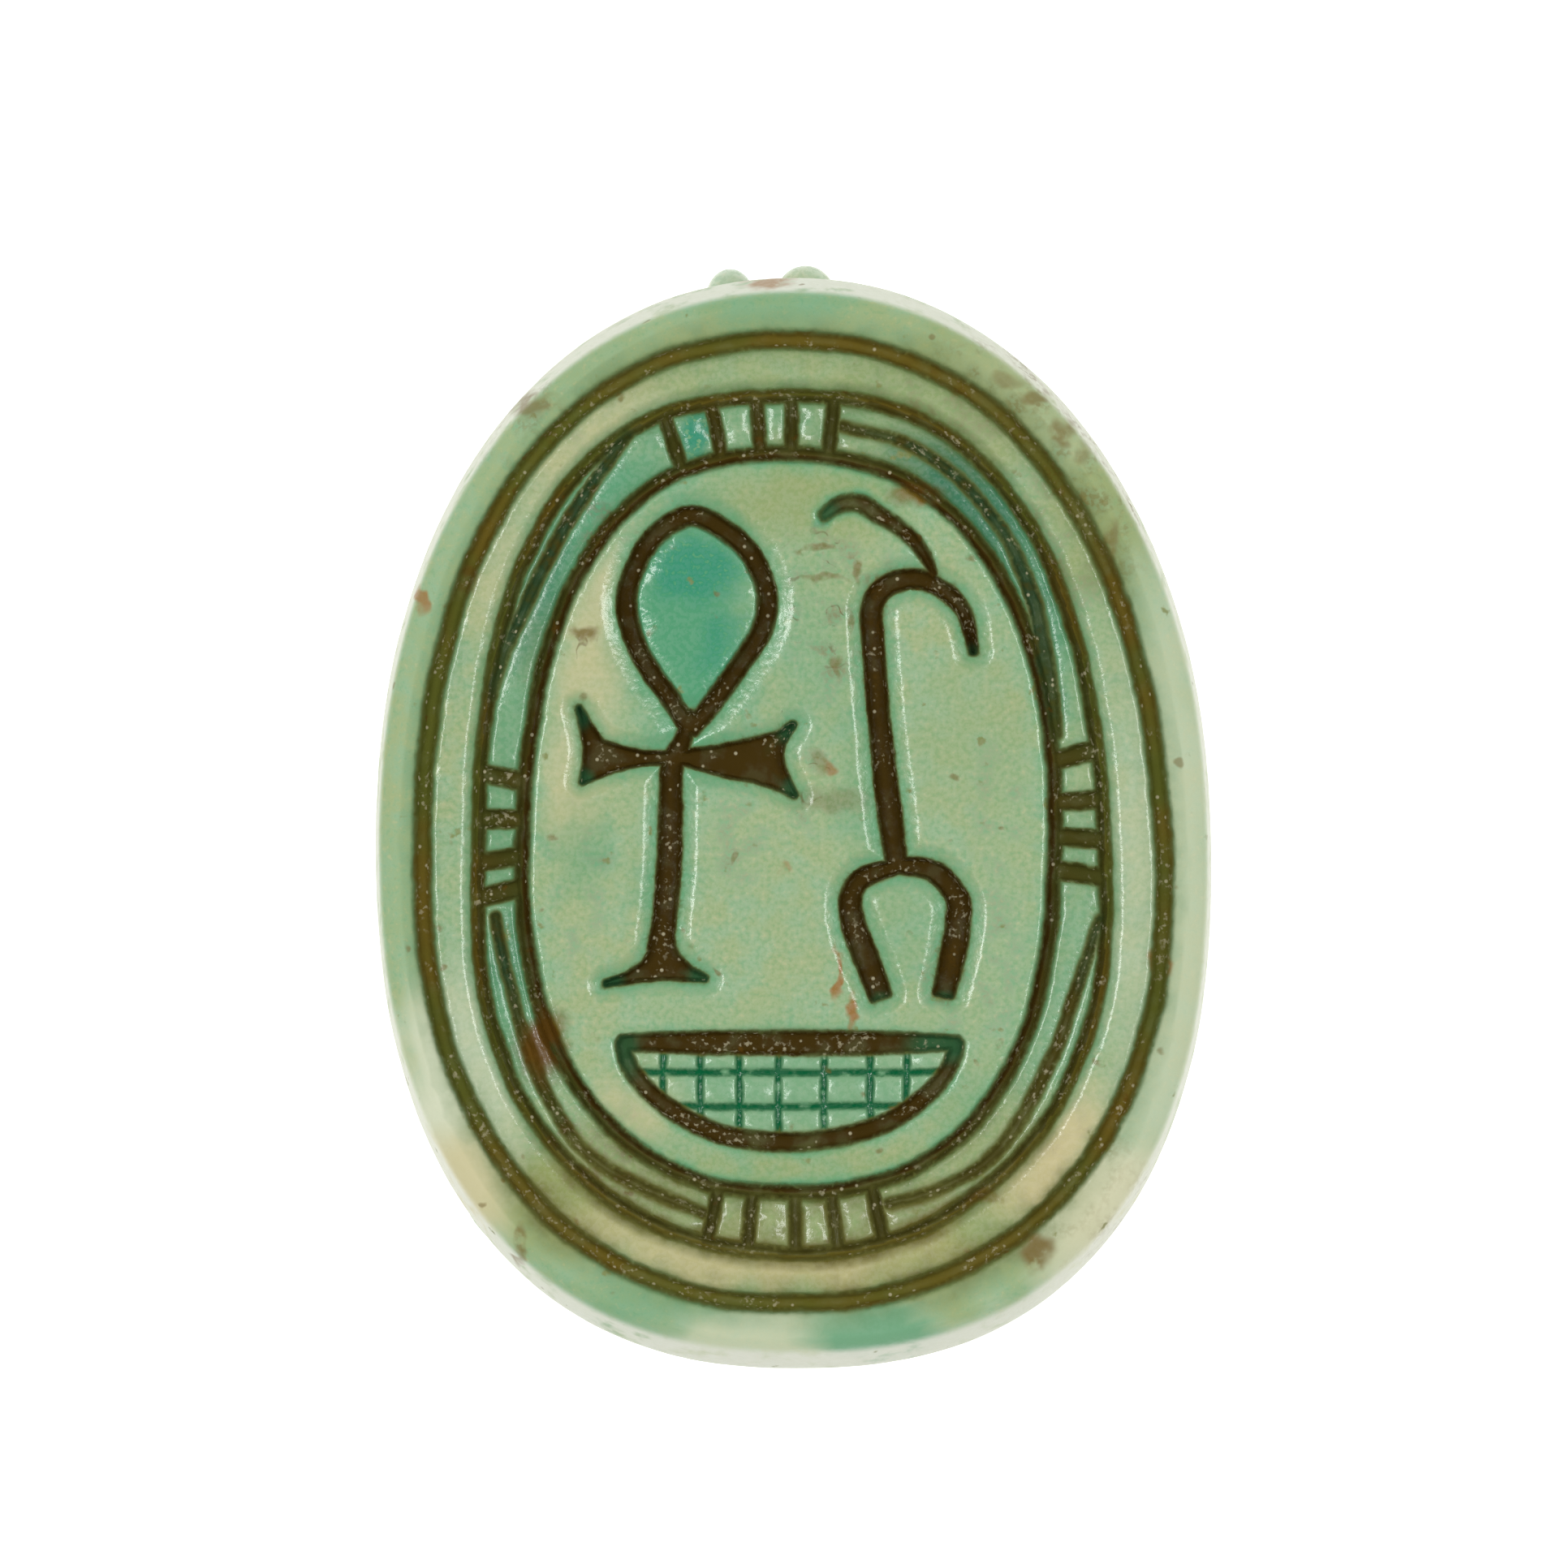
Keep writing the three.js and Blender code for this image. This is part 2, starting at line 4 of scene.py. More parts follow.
import bpy
import bmesh
import numpy as np
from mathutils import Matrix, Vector


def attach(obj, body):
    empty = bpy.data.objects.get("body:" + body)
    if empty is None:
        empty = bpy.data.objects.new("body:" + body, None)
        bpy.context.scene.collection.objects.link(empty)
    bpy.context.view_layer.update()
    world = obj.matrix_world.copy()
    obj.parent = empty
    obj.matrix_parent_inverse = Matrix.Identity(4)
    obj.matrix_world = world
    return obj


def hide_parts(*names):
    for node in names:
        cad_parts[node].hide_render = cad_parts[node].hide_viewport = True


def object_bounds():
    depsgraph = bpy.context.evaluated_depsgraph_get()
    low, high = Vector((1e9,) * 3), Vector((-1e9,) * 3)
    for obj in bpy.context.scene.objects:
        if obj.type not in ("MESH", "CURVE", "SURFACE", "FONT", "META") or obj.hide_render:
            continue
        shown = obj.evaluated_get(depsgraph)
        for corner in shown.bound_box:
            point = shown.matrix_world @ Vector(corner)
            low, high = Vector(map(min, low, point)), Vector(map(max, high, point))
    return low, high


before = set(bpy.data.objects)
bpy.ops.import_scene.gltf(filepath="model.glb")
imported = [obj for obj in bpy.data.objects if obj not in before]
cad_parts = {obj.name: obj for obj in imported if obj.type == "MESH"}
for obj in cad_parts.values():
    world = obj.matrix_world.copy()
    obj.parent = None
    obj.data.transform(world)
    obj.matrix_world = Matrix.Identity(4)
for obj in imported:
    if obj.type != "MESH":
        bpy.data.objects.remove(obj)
CAD_BOX = [list(corner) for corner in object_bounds()]

bl_info = {
    "name": "Scarab Seal",
    "version": (1, 0, 0),
    "blender": (4, 5, 0),
    "location": "3D View > Sidebar > Scarab",
    "description": "Carves and glazes a soapstone scarab seal round its solid model",
    "category": "Mesh",
}

# The piece is carved in millimetres and brought to metres at the end.
MM = 0.001
LENGTH_MIDDLE = 0.065  # the piece's middle, forward of the point that the carving is laid out from
NODE = "scarab"
TAU = 2 * math.pi

# Ovals: middle, reach to each side, and the roundness of the four quarters
# (head right, head left, tail left, tail right); 2 is an ellipse and more is squarer.
OUTLINE = dict(x=0.04, y=-0.47, left=6.48, right=6.40, head=8.80, tail=7.99,
               quarters=(2.10, 2.14, 2.33, 2.41), turn=0.6)
OUTER_RING = dict(x=-0.03, y=-0.97, left=5.67, right=5.73, head=8.33, tail=6.49,
                  quarters=(2.27, 2.24, 2.20, 2.19), turn=1.85)
MIDDLE_RING = dict(x=0.11, y=-1.44, left=4.96, right=4.69, head=7.94, tail=5.25,
                   quarters=(2.44, 2.73, 2.18, 2.07), turn=0.34)
INNER_RING = dict(x=-0.13, y=-0.52, left=4.04, right=4.15, head=6.14, tail=5.23,
                  quarters=(2.26, 2.52, 2.24, 2.46), turn=-2.3)

# Body from the seal face down to the shoulder of the back: how far each level
# lies inside the outline at the sides, head and tail, and its depth below the face.
LEVELS = [
    (0.42, 0.46, 0.50, 0.0), (0.20, 0.30, 0.36, 0.07), (0.07, 0.22, 0.26, 0.24),
    (0.0, 0.0, 0.0, 0.95), (0.03, 0.03, 0.03, 1.25), (0.16, 0.16, 0.16, 1.40),
    (0.55, 0.60, 0.55, 1.48), (0.55, 0.62, 0.55, 2.20), (0.42, 0.50, 0.42, 3.0),
]
REST_SPOT = 0.27  # flat spot on the back, as a share of the back's outline
# How full the back is and how steeply it meets the sides: at the flanks and tail, and at the head.
BACK_SWELL = (2.3, 1.75)
BACK_EDGE = (0.55, 0.72)
# The seal face's worn edge: the share of the outline where it starts, and the share that it fades over.
WORN_FROM, WORN_OVER = 0.925, 0.05
BACK_MIDDLE = np.array([OUTLINE["x"], OUTLINE["y"]])
SEAL_MIDDLE = np.array([0.0, -0.1])


# ---------------------------------------------------------------- objects and meshes
def put(name, data):
    """A new object with this mesh, light or camera, in the scene."""
    made = bpy.data.objects.new(name, data)
    bpy.context.scene.collection.objects.link(made)
    return made


def settle(made, modifier):
    """Keeps what a modifier does as the object's plain mesh."""
    settled = made.evaluated_get(bpy.context.evaluated_depsgraph_get())
    mesh = bpy.data.meshes.new_from_object(settled)
    made.modifiers.remove(modifier)
    old, made.data = made.data, mesh
    bpy.data.meshes.remove(old)


# ---------------------------------------------------------------- ovals and paths
def oval_loop(oval, angles):
    """Points of an oval at these turns of its own angle."""
    c, s = np.cos(angles), np.sin(angles)
    q = oval["quarters"]
    power = 2 / np.where(s >= 0, np.where(c >= 0, q[0], q[1]), np.where(c < 0, q[2], q[3]))
    px = np.sign(c) * np.abs(c) ** power * np.where(c >= 0, oval["right"], oval["left"])
    py = np.sign(s) * np.abs(s) ** power * np.where(s >= 0, oval["head"], oval["tail"])
    turn = math.radians(oval["turn"])
    return np.column_stack([px * math.cos(turn) - py * math.sin(turn) + oval["x"],
                            px * math.sin(turn) + py * math.cos(turn) + oval["y"]])


def inset(oval, side, head, tail):
    """The oval drawn in at its sides, head and tail."""
    return dict(oval, left=oval["left"] - side, right=oval["right"] - side,
                head=oval["head"] - head, tail=oval["tail"] - tail)


def oval_reach(oval, centre, directions):
    """Distance from a centre to the oval in these directions."""
    arm = oval_loop(oval, np.linspace(0, TAU, 2880, endpoint=False)) - centre
    turn = np.arctan2(arm[:, 1], arm[:, 0]) % TAU
    order = np.argsort(turn)
    return np.interp(np.asarray(directions) % TAU, turn[order], np.hypot(*arm.T)[order], period=TAU)


def spline(points, steps):
    """Even points along a smooth curve through a few chosen ones."""
    p = np.asarray(points, float)
    if len(p) == 2:
        return p[0] + (p[1] - p[0]) * np.linspace(0, 1, steps + 1)[:, None]
    ends = np.vstack([2 * p[0] - p[1], p, 2 * p[-1] - p[-2]])
    fine = []
    for a, b, c, d in zip(ends, ends[1:], ends[2:], ends[3:]):
        for t in np.linspace(0, 1, 24, endpoint=False):
            fine.append(0.5 * (2 * b + (c - a) * t + (2 * a - 5 * b + 4 * c - d) * t * t
                               + (3 * b - a - 3 * c + d) * t ** 3))
    fine = np.array(fine + [p[-1]])
    run = np.concatenate([[0], np.cumsum(np.linalg.norm(np.diff(fine, axis=0), axis=1))])
    even = np.linspace(0, run[-1], steps + 1)
    return np.column_stack([np.interp(even, run, fine[:, k]) for k in range(p.shape[1])])


class Strips:
    """Flat strips and patches on the seal face: the floors of the cuts, as faces."""

    def __init__(self):
        self.points, self.faces = [], []

    def strip(self, path, width, closed=False):
        """A strip along a path; width is one number, or several spread along it."""
        path = np.asarray(path)
        if closed:
            ahead = np.roll(path, -1, axis=0) - np.roll(path, 1, axis=0)
        else:
            ahead = np.gradient(path, axis=0)
        ahead /= np.linalg.norm(ahead, axis=1)[:, None]
        left = np.column_stack([-ahead[:, 1], ahead[:, 0]])
        stops = np.linspace(0, 1, np.size(width))
        half = np.interp(np.linspace(0, 1, len(path)), stops, np.atleast_1d(width)) / 2
        start = len(self.points)
        for point, side, reach in zip(path, left, half):
            self.points += [point + side * reach, point - side * reach]
        count = len(path)
        for i in range(count if closed else count - 1):
            a, b = start + 2 * i, start + 2 * ((i + 1) % count)
            self.faces.append((a, a + 1, b + 1, b))

    def patch(self, outline):
        """A filled outline."""
        start = len(self.points)
        self.points += [np.asarray(p, float) for p in outline]
        self.faces.append(tuple(range(start, start + len(outline))))

    def build(self, name, height):
        mesh = bpy.data.meshes.new(name)
        mesh.from_pydata([(p[0], p[1], height) for p in self.points], [], self.faces)
        whole = bmesh.new()
        whole.from_mesh(mesh)
        bmesh.ops.triangulate(whole, faces=whole.faces[:])
        whole.to_mesh(mesh)
        whole.free()
        return put(name, mesh)


# ---------------------------------------------------------------- what is engraved
# Lines are points in millimetres; widths are those of the floors of the cuts, spread along each line.
RING_WIDTHS = [(OUTER_RING, 0.11), (MIDDLE_RING, 0.06), (INNER_RING, 0.07)]
# Where the cord is bound, in degrees, and the bindings' widths at its sides and at its head and tail.
BINDINGS = [84.5, 90.3, 95.0, 101.0, 107.4, 170.6, 178.8, 186.6, 193.0,
            258.3, 263.8, 270.4, 276.0, 282.3, 350.3, 357.4, 5.0, 14.0]
BINDING_WIDTHS = (0.16, 0.08)
# Where the cord's strands cross: angle, and share of the way from the middle ring to the inner one.
STRANDS = [
    [(83, 0.47), (74, 0.46), (64, 0.47), (55, 0.50), (48, 0.56), (42, 0.62), (36, 0.74), (28, 0.84),
     (19, 0.92)],
    [(113, 0.04), (120, 0.28), (130, 0.37), (140, 0.33), (149, 0.17), (157, 0.06)],
    [(197, 0.38), (208, 0.52), (220, 0.52), (229, 0.43), (237, 0.36), (246, 0.46), (257, 0.50)],
    [(284, 0.60), (292, 0.46), (302, 0.34), (318, 0.42), (328, 0.41), (337, 0.26), (343, 0.12)],
]
STRAND_WIDTHS = [(0.02, 0.03, 0.04, 0.05, 0.1, 0.14, 0.12), (0.03, 0.06, 0.06, 0.03),
                 (0.02, 0.03, 0.04, 0.04, 0.03), (0.02, 0.04, 0.06, 0.05, 0.02)]
LOOP = [(-1.58, 1.38), (-2.18, 2.23), (-2.49, 2.87), (-2.56, 3.51), (-2.30, 4.14), (-1.90, 4.53),
        (-1.50, 4.66), (-1.03, 4.43), (-0.62, 4.02), (-0.40, 3.44), (-0.50, 2.85), (-0.87, 2.28),
        (-1.58, 1.38)]
LOOP_WIDTHS = (0.14, 0.17, 0.17, 0.17, 0.15)
CROSS_STEM = [(-1.58, 1.62), (-1.70, 1.20), (-1.86, 0.75), (-1.91, -0.80), (-2.02, -1.80), (-2.07, -2.25)]
STEM_WIDTHS = (0.06, 0.20, 0.24, 0.24, 0.26, 0.28)
# Outlines of the cross's arms and foot, and how far their walls lean in from outline to floor.
CROSS_ARMS = [(-3.31, 1.73), (-3.11, 1.42), (-2.94, 1.20), (-2.64, 1.10), (-2.30, 1.02), (-1.90, 1.01),
              (-1.55, 1.05), (-1.18, 1.11), (-0.84, 1.19), (-0.49, 1.25), (-0.19, 1.34), (0.02, 1.47),
              (-0.15, 1.17), (-0.19, 1.00), (-0.15, 0.78), (0.04, 0.33), (-0.32, 0.48), (-0.62, 0.59),
              (-1.01, 0.67), (-1.35, 0.76), (-1.65, 0.84), (-1.95, 0.86), (-2.30, 0.85), (-2.73, 0.76),
              (-3.03, 0.65), (-3.27, 0.54), (-3.20, 0.91), (-3.21, 1.17)]
CROSS_FOOT = [(-2.14, -1.70), (-2.18, -2.00), (-2.32, -2.22), (-2.56, -2.38), (-2.91, -2.54), (-2.45, -2.48),
              (-2.00, -2.45), (-1.62, -2.47), (-1.33, -2.46), (-1.58, -2.30), (-1.75, -2.12), (-1.84, -1.95),
              (-1.87, -1.70)]
POCKET_WALL = 0.025
STAFF = [(1.57, -0.65), (1.42, 0.60), (1.31, 1.75), (1.22, 2.80), (1.22, 3.30), (1.47, 3.60), (1.92, 3.69),
         (2.35, 3.50), (2.62, 3.20), (2.75, 2.66), (2.76, 2.56)]
STAFF_WIDTHS = (0.24, 0.25, 0.23, 0.22, 0.20, 0.15, 0.04)
STAFF_EAR = [(0.46, 4.66), (0.72, 4.83), (1.02, 4.85), (1.32, 4.67), (1.66, 4.46), (1.91, 4.21),
             (2.15, 3.78)]
EAR_WIDTHS = (0.05, 0.13, 0.15, 0.11, 0.08, 0.05, 0.01)
FORK_LEFT = [(1.60, -0.72), (1.06, -0.92), (0.88, -1.25), (0.96, -1.70), (1.17, -2.27), (1.34, -2.72)]
FORK_RIGHT = [(1.50, -0.70), (2.15, -0.80), (2.50, -1.18), (2.54, -1.55), (2.44, -2.15), (2.32, -2.68)]
FORK_WIDTHS = (0.12, 0.20, 0.25, 0.28, 0.24)
# The basket's corners and depth, the powers of its bowed line, and where its weave runs.
BASKET = dict(left=-2.62, right=2.52, rim=-3.45, bottom=-4.97, middle=-0.05)
BOW_SWELL, BOW_BEND = 2.2, 0.62
RIM_WIDTHS = (0.12, 0.24, 0.24, 0.22, 0.10)
BOW_WIDTHS = (0.08, 0.15, 0.17, 0.14, 0.08)
LATTICE_DOWN = [-2.0, -1.43, -0.83, -0.23, 0.47, 1.18, 1.74]
LATTICE_ACROSS = [-3.90, -4.42]
LATTICE_WIDTH = 0.04


def band_point(degrees, across):
    """A point on the cord between the middle ring and the inner one."""
    direction = math.radians(degrees)
    outer = oval_reach(MIDDLE_RING, SEAL_MIDDLE, direction)
    inner = oval_reach(INNER_RING, SEAL_MIDDLE, direction)
    reach = outer + (inner - outer) * across
    return SEAL_MIDDLE + reach * np.array([math.cos(direction), math.sin(direction)])


def basket_bow(x):
    """Height of the basket's lower line at x."""
    b = BASKET
    half = b["middle"] - b["left"] if x < b["middle"] else b["right"] - b["middle"]
    t = min(1.0, abs(x - b["middle"]) / half)
    return b["rim"] + (b["bottom"] - b["rim"]) * (1 - t ** BOW_SWELL) ** BOW_BEND


def drawn_in(outline, distance):
    """A clockwise or anticlockwise outline drawn in by a distance, less at its sharp tips."""
    p = np.asarray(outline, float)
    ahead = np.roll(p, -1, axis=0) - p
    ahead /= np.linalg.norm(ahead, axis=1)[:, None]
    area = np.sum(p[:, 0] * np.roll(p[:, 1], -1) - np.roll(p[:, 0], -1) * p[:, 1])
    inward = np.column_stack([-ahead[:, 1], ahead[:, 0]]) * np.sign(area)
    bisector = inward + np.roll(inward, 1, axis=0)
    bisector /= np.linalg.norm(bisector, axis=1)[:, None]
    share = np.maximum(0.7, np.sum(bisector * inward, axis=1))
    return p + bisector * (distance / share)[:, None]


def ring_floors(height):
    """The three ring grooves."""
    strips = Strips()
    for ring, width in RING_WIDTHS:
        strips.strip(oval_loop(ring, np.linspace(0, TAU, 360, endpoint=False)), width, closed=True)
    return strips.build("ring_floors", height)


def ring_patch(ring):
    """All that lies within a ring, which the slope outside it falls towards."""
    def fill(height):
        strips = Strips()
        strips.patch(oval_loop(ring, np.linspace(0, TAU, 180, endpoint=False)))
        return strips.build("ring_patch", height)
    return fill


def binding_floors(height):
    """The bindings round the cord."""
    strips = Strips()
    for angle in BINDINGS:
        at_side = abs(math.cos(math.radians(angle))) > 0.7
        ends = [band_point(angle, 0), band_point(angle, 1)]
        strips.strip(spline(ends, 4), BINDING_WIDTHS[0 if at_side else 1])
    return strips.build("binding_floors", height)


def strand_floors(height):
    """The lines between the cord's strands."""
    strips = Strips()
    for strand, width in zip(STRANDS, STRAND_WIDTHS):
        strips.strip(spline([band_point(*p) for p in strand], 40), width)
    return strips.build("strand_floors", height)


def loop_floors(height):
    """The cross's loop."""
    strips = Strips()
    strips.strip(spline(LOOP, 80), LOOP_WIDTHS)
    return strips.build("loop_floors", height)


def loop_patch(height):
    """All that lies within the loop, which the slope outside it falls towards."""
    strips = Strips()
    strips.patch(spline(LOOP, 60)[:-1])
    return strips.build("loop_patch", height)


def emblem_floors(height):
    """The rest of the looped cross and the forked staff."""
    strips = Strips()
    strips.strip(spline(CROSS_STEM, 40), STEM_WIDTHS)
    strips.patch(drawn_in(CROSS_ARMS, POCKET_WALL))
    strips.patch(drawn_in(CROSS_FOOT, POCKET_WALL))
    strips.strip(spline(STAFF, 80), STAFF_WIDTHS)
    for fork in (FORK_LEFT, FORK_RIGHT):
        strips.strip(spline(fork, 40), FORK_WIDTHS)
    return strips.build("emblem_floors", height)


def light_floors(height):
    """The staff's ear and the basket's outline."""
    strips = Strips()
    strips.strip(spline(STAFF_EAR, 40), EAR_WIDTHS)
    ends = [(BASKET["left"], BASKET["rim"]), (BASKET["right"], BASKET["rim"])]
    strips.strip(spline(ends, 30), RIM_WIDTHS)
    strips.strip(bow_line(61), BOW_WIDTHS)
    return strips.build("light_floors", height)


def bow_line(count):
    """The basket's lower line from end to end."""
    turn = np.linspace(0, math.pi, count)
    half = np.where(np.cos(turn) > 0, BASKET["middle"] - BASKET["left"], BASKET["right"] - BASKET["middle"])
    return np.array([(x, basket_bow(x)) for x in BASKET["middle"] - np.cos(turn) * half])


def basket_bed(height):
    """The sunken bed of the basket, which its weave is scored on."""
    strips = Strips()
    strips.patch(bow_line(41))
    return strips.build("basket_bed", height)


def lattice_floors(height):
    """The basket's weave."""
    strips = Strips()
    for x in LATTICE_DOWN:
        strips.strip(spline([(x, BASKET["rim"]), (x, basket_bow(x))], 10), LATTICE_WIDTH)
    for y in LATTICE_ACROSS:
        reach = (y - BASKET["rim"]) / (BASKET["bottom"] - BASKET["rim"])
        half = (1 - reach ** (1 / BOW_BEND)) ** (1 / BOW_SWELL)
        ends = [(BASKET["middle"] + half * (BASKET[key] - BASKET["middle"]), y) for key in ("left", "right")]
        strips.strip(spline(ends, 20), LATTICE_WIDTH)
    return strips.build("lattice_floors", height)


# ---------------------------------------------------------------- the uncut body
def back_depth(share, direction, height):
    """Depth below the seal face of the back, at a share of its outline in one direction."""
    headward = np.maximum(0, np.sin(direction)) ** 2
    u = np.clip((share - REST_SPOT) / (1 - REST_SPOT), 0, 1)
    swell = BACK_SWELL[0] + (BACK_SWELL[1] - BACK_SWELL[0]) * headward
    edge = BACK_EDGE[0] + (BACK_EDGE[1] - BACK_EDGE[0]) * headward
    return LEVELS[-1][3] + (height - LEVELS[-1][3]) * (1 - u ** swell) ** edge


def blank_rows(height, around, face_rows, side_rows, back_rows):
    """Rows of points from the seal face's middle, over its edge and round to the back's middle."""
    angles = np.linspace(0, TAU, around, endpoint=False)
    edge = oval_loop(inset(OUTLINE, *LEVELS[0][:3]), angles)
    middle = BACK_MIDDLE
    rows = [np.column_stack([middle + (edge - middle) * share, np.full(around, height)])
            for share in np.linspace(0, 1, face_rows + 1)[1:]]
    for side, head, tail, depth in spline(LEVELS, side_rows)[1:]:
        loop = oval_loop(inset(OUTLINE, side, head, tail), angles)
        rows.append(np.column_stack([loop, np.full(around, height - depth)]))
    rim = oval_loop(inset(OUTLINE, *LEVELS[-1][:3]), angles) - middle
    direction = np.arctan2(rim[:, 1], rim[:, 0])
    swing = np.linspace(0, math.pi / 2, back_rows + 1)[1:-1]
    for share in np.cos(swing):
        depth = np.where(share <= REST_SPOT, height, back_depth(share, direction, height))
        rows.append(np.column_stack([middle + rim * share, height - depth]))
    return rows


def build_blank(sizes):
    """The uncut body as one closed mesh."""
    height = sizes.height / MM
    around = sizes.around
    rows = blank_rows(height, around, sizes.face_rows, sizes.side_rows, sizes.back_rows)
    points = np.vstack([[(*BACK_MIDDLE, height)], *rows, [(*BACK_MIDDLE, 0.0)]])
    here = np.arange(around)
    there = (here + 1) % around
    last = len(points) - 1
    fans = [np.column_stack([np.zeros(around, int), 1 + here, 1 + there]),
            np.column_stack([np.full(around, last), last - around + there, last - around + here])]
    quads = [np.column_stack([a + here, a + around + here, a + around + there, a + there])
             for a in range(1, last - around, around)]
    mesh = bpy.data.meshes.new(NODE + "_carving")
    mesh.from_pydata(points.tolist(), [], [*np.vstack(fans).tolist(), *np.vstack(quads).tolist()])
    on_face = np.zeros(len(points))
    on_face[:1 + around * sizes.face_rows] = 1.0
    mesh.attributes.new("on_face", "FLOAT", "POINT").data.foreach_set("value", on_face)
    edge = np.ones(len(points))
    shares = np.repeat(np.linspace(0, 1, sizes.face_rows + 1)[1:], around)
    edge[:1 + len(shares)] = np.clip((np.concatenate([[0], shares]) - WORN_FROM) / WORN_OVER, 0, 1)
    mesh.attributes.new("edge", "FLOAT", "POINT").data.foreach_set("value", edge)
    return put(NODE + "_carving", mesh)


# ---------------------------------------------------------------- node tree helpers
def add(tree, kind, inputs=(), **settings):
    """A node with its settings and its inputs: a value to set or a socket to link, by place or name."""
    node = tree.nodes.new(kind)
    for key, value in settings.items():
        setattr(node, key, value)
    pairs = inputs.items() if isinstance(inputs, dict) else enumerate(inputs)
    for key, value in pairs:
        if value is None:
            continue
        if isinstance(value, bpy.types.NodeSocket):
            tree.links.new(value, node.inputs[key])
        else:
            node.inputs[key].default_value = value
    return node


def maths(tree, operation, *values):
    return add(tree, "ShaderNodeMath", values, operation=operation).outputs[0]


def times(tree, *values):
    """The product of several factors."""
    product = values[0]
    for value in values[1:]:
        product = maths(tree, "MULTIPLY", product, value)
    return product


def most(tree, *values):
    """The greatest of several values."""
    top = values[0]
    for value in values[1:]:
        top = maths(tree, "MAXIMUM", top, value)
    return top


def less(tree, value, taken):
    return maths(tree, "SUBTRACT", value, taken)


def vector(tree, operation, *values):
    return add(tree, "ShaderNodeVectorMath", values, operation=operation).outputs[0]


def noise(tree, place, scale, detail):
    return add(tree, "ShaderNodeTexNoise", {"Vector": place, "Scale": scale, "Detail": detail}).outputs["Fac"]


def stretch(tree, value, low, high, top=1.0):
    """A value spread so that it runs from 0 at low to the top at high."""
    return add(tree, "ShaderNodeMapRange", {0: value, 1: low, 2: high, 3: 0.0, 4: top},
               interpolation_type="SMOOTHSTEP").outputs[0]


def new_tree(name, inputs):
    """A geometry tree with named inputs; returns the tree and the inputs' sockets."""
    tree = bpy.data.node_groups.new(name, "GeometryNodeTree")
    tree.interface.new_socket("Geometry", in_out="INPUT", socket_type="NodeSocketGeometry")
    for label, kind, default in inputs:
        socket = tree.interface.new_socket(label, in_out="INPUT", socket_type="NodeSocket" + kind)
        if default is not None:
            socket.default_value = default
    tree.interface.new_socket("Geometry", in_out="OUTPUT", socket_type="NodeSocketGeometry")
    source = tree.nodes.new("NodeGroupInput")
    return tree, source.outputs


def end_tree(tree, geometry, material):
    """Ends a geometry tree: its instances made real, and glazed."""
    whole = add(tree, "GeometryNodeRealizeInstances", (geometry,)).outputs[0]
    glazed = add(tree, "GeometryNodeSetMaterial", {"Geometry": whole, "Material": material}).outputs[0]
    tree.links.new(glazed, tree.nodes.new("NodeGroupOutput").inputs[0])
    return tree


def run_tree(made, tree, values):
    """Runs a geometry tree on an object and keeps the result as its plain mesh."""
    modifier = made.modifiers.new(tree.name, "NODES")
    modifier.node_group = tree
    for socket in tree.interface.items_tree:
        if socket.in_out == "INPUT" and socket.name in values:
            modifier[socket.identifier] = values[socket.name]
    settle(made, modifier)


def keep(tree, geometry, name, value):
    return add(tree, "GeometryNodeStoreNamedAttribute", {"Geometry": geometry, "Name": name, "Value": value},
               data_type="FLOAT", domain="POINT").outputs[0]


def read(tree, name):
    return add(tree, "GeometryNodeInputNamedAttribute", {"Name": name}, data_type="FLOAT").outputs[0]


def away_from(tree, floor, probe):
    """How far each probed place is from the faces of a floor."""
    faces = add(tree, "GeometryNodeObjectInfo", {"Object": floor}).outputs["Geometry"]
    return add(tree, "GeometryNodeProximity", {0: faces, "Sample Position": probe},
               target_element="FACES").outputs["Distance"]


# ---------------------------------------------------------------- engraving tree
# Each family of cuts: how its floors are laid out, depth and width of its steep core, depth and width
# of the gentle slope outside it, how dark the dirt in it is and how far that reaches.
# The dirt's fade up the walls is also painted shade.
FAMILIES = {
    "Rings": (ring_floors, 0.30, 0.13, 0.05, 0.18, 1.0, 0.145),
    "Outer Slope": (ring_patch(OUTER_RING), 0.0, 0.1, 0.11, 0.22, 0.5, 0.30),
    "Middle Slope": (ring_patch(MIDDLE_RING), 0.0, 0.1, 0.15, 0.29, 0.0, 0.1),
    "Bindings": (binding_floors, 0.24, 0.10, 0.0, 0.1, 1.0, 0.13),
    "Strands": (strand_floors, 0.18, 0.13, 0.05, 0.30, 0.92, 0.16),
    "Emblems": (emblem_floors, 0.36, 0.10, 0.15, 0.32, 1.0, 0.14),
    "Loop": (loop_floors, 0.36, 0.11, 0.0, 0.1, 1.0, 0.14),
    "Loop Slope": (loop_patch, 0.0, 0.1, 0.15, 0.44, 0.0, 0.1),
    "Light Strokes": (light_floors, 0.26, 0.11, 0.06, 0.20, 0.95, 0.15),
    "Basket Bed": (basket_bed, 0.05, 0.08, 0.0, 0.1, 0.0, 0.1),
    "Lattice": (lattice_floors, 0.14, 0.09, 0.0, 0.1, 0.0, 0.1),
}
# How far round the cuts the glaze is painted darker, as shade beside the cuts.
SHADE_HALO_REACH = {"Rings": 0.34, "Outer Slope": 0.62, "Emblems": 0.34, "Loop": 0.32, "Light Strokes": 0.28,
              "Strands": 0.24, "Bindings": 0.20}


ON_FLOOR = 0.002  # a place nearer to a floor than this lies on it
WEAVE_REACH = 0.06
SIDE_LIMIT = 0.04  # the darker glaze starts this far from a floor


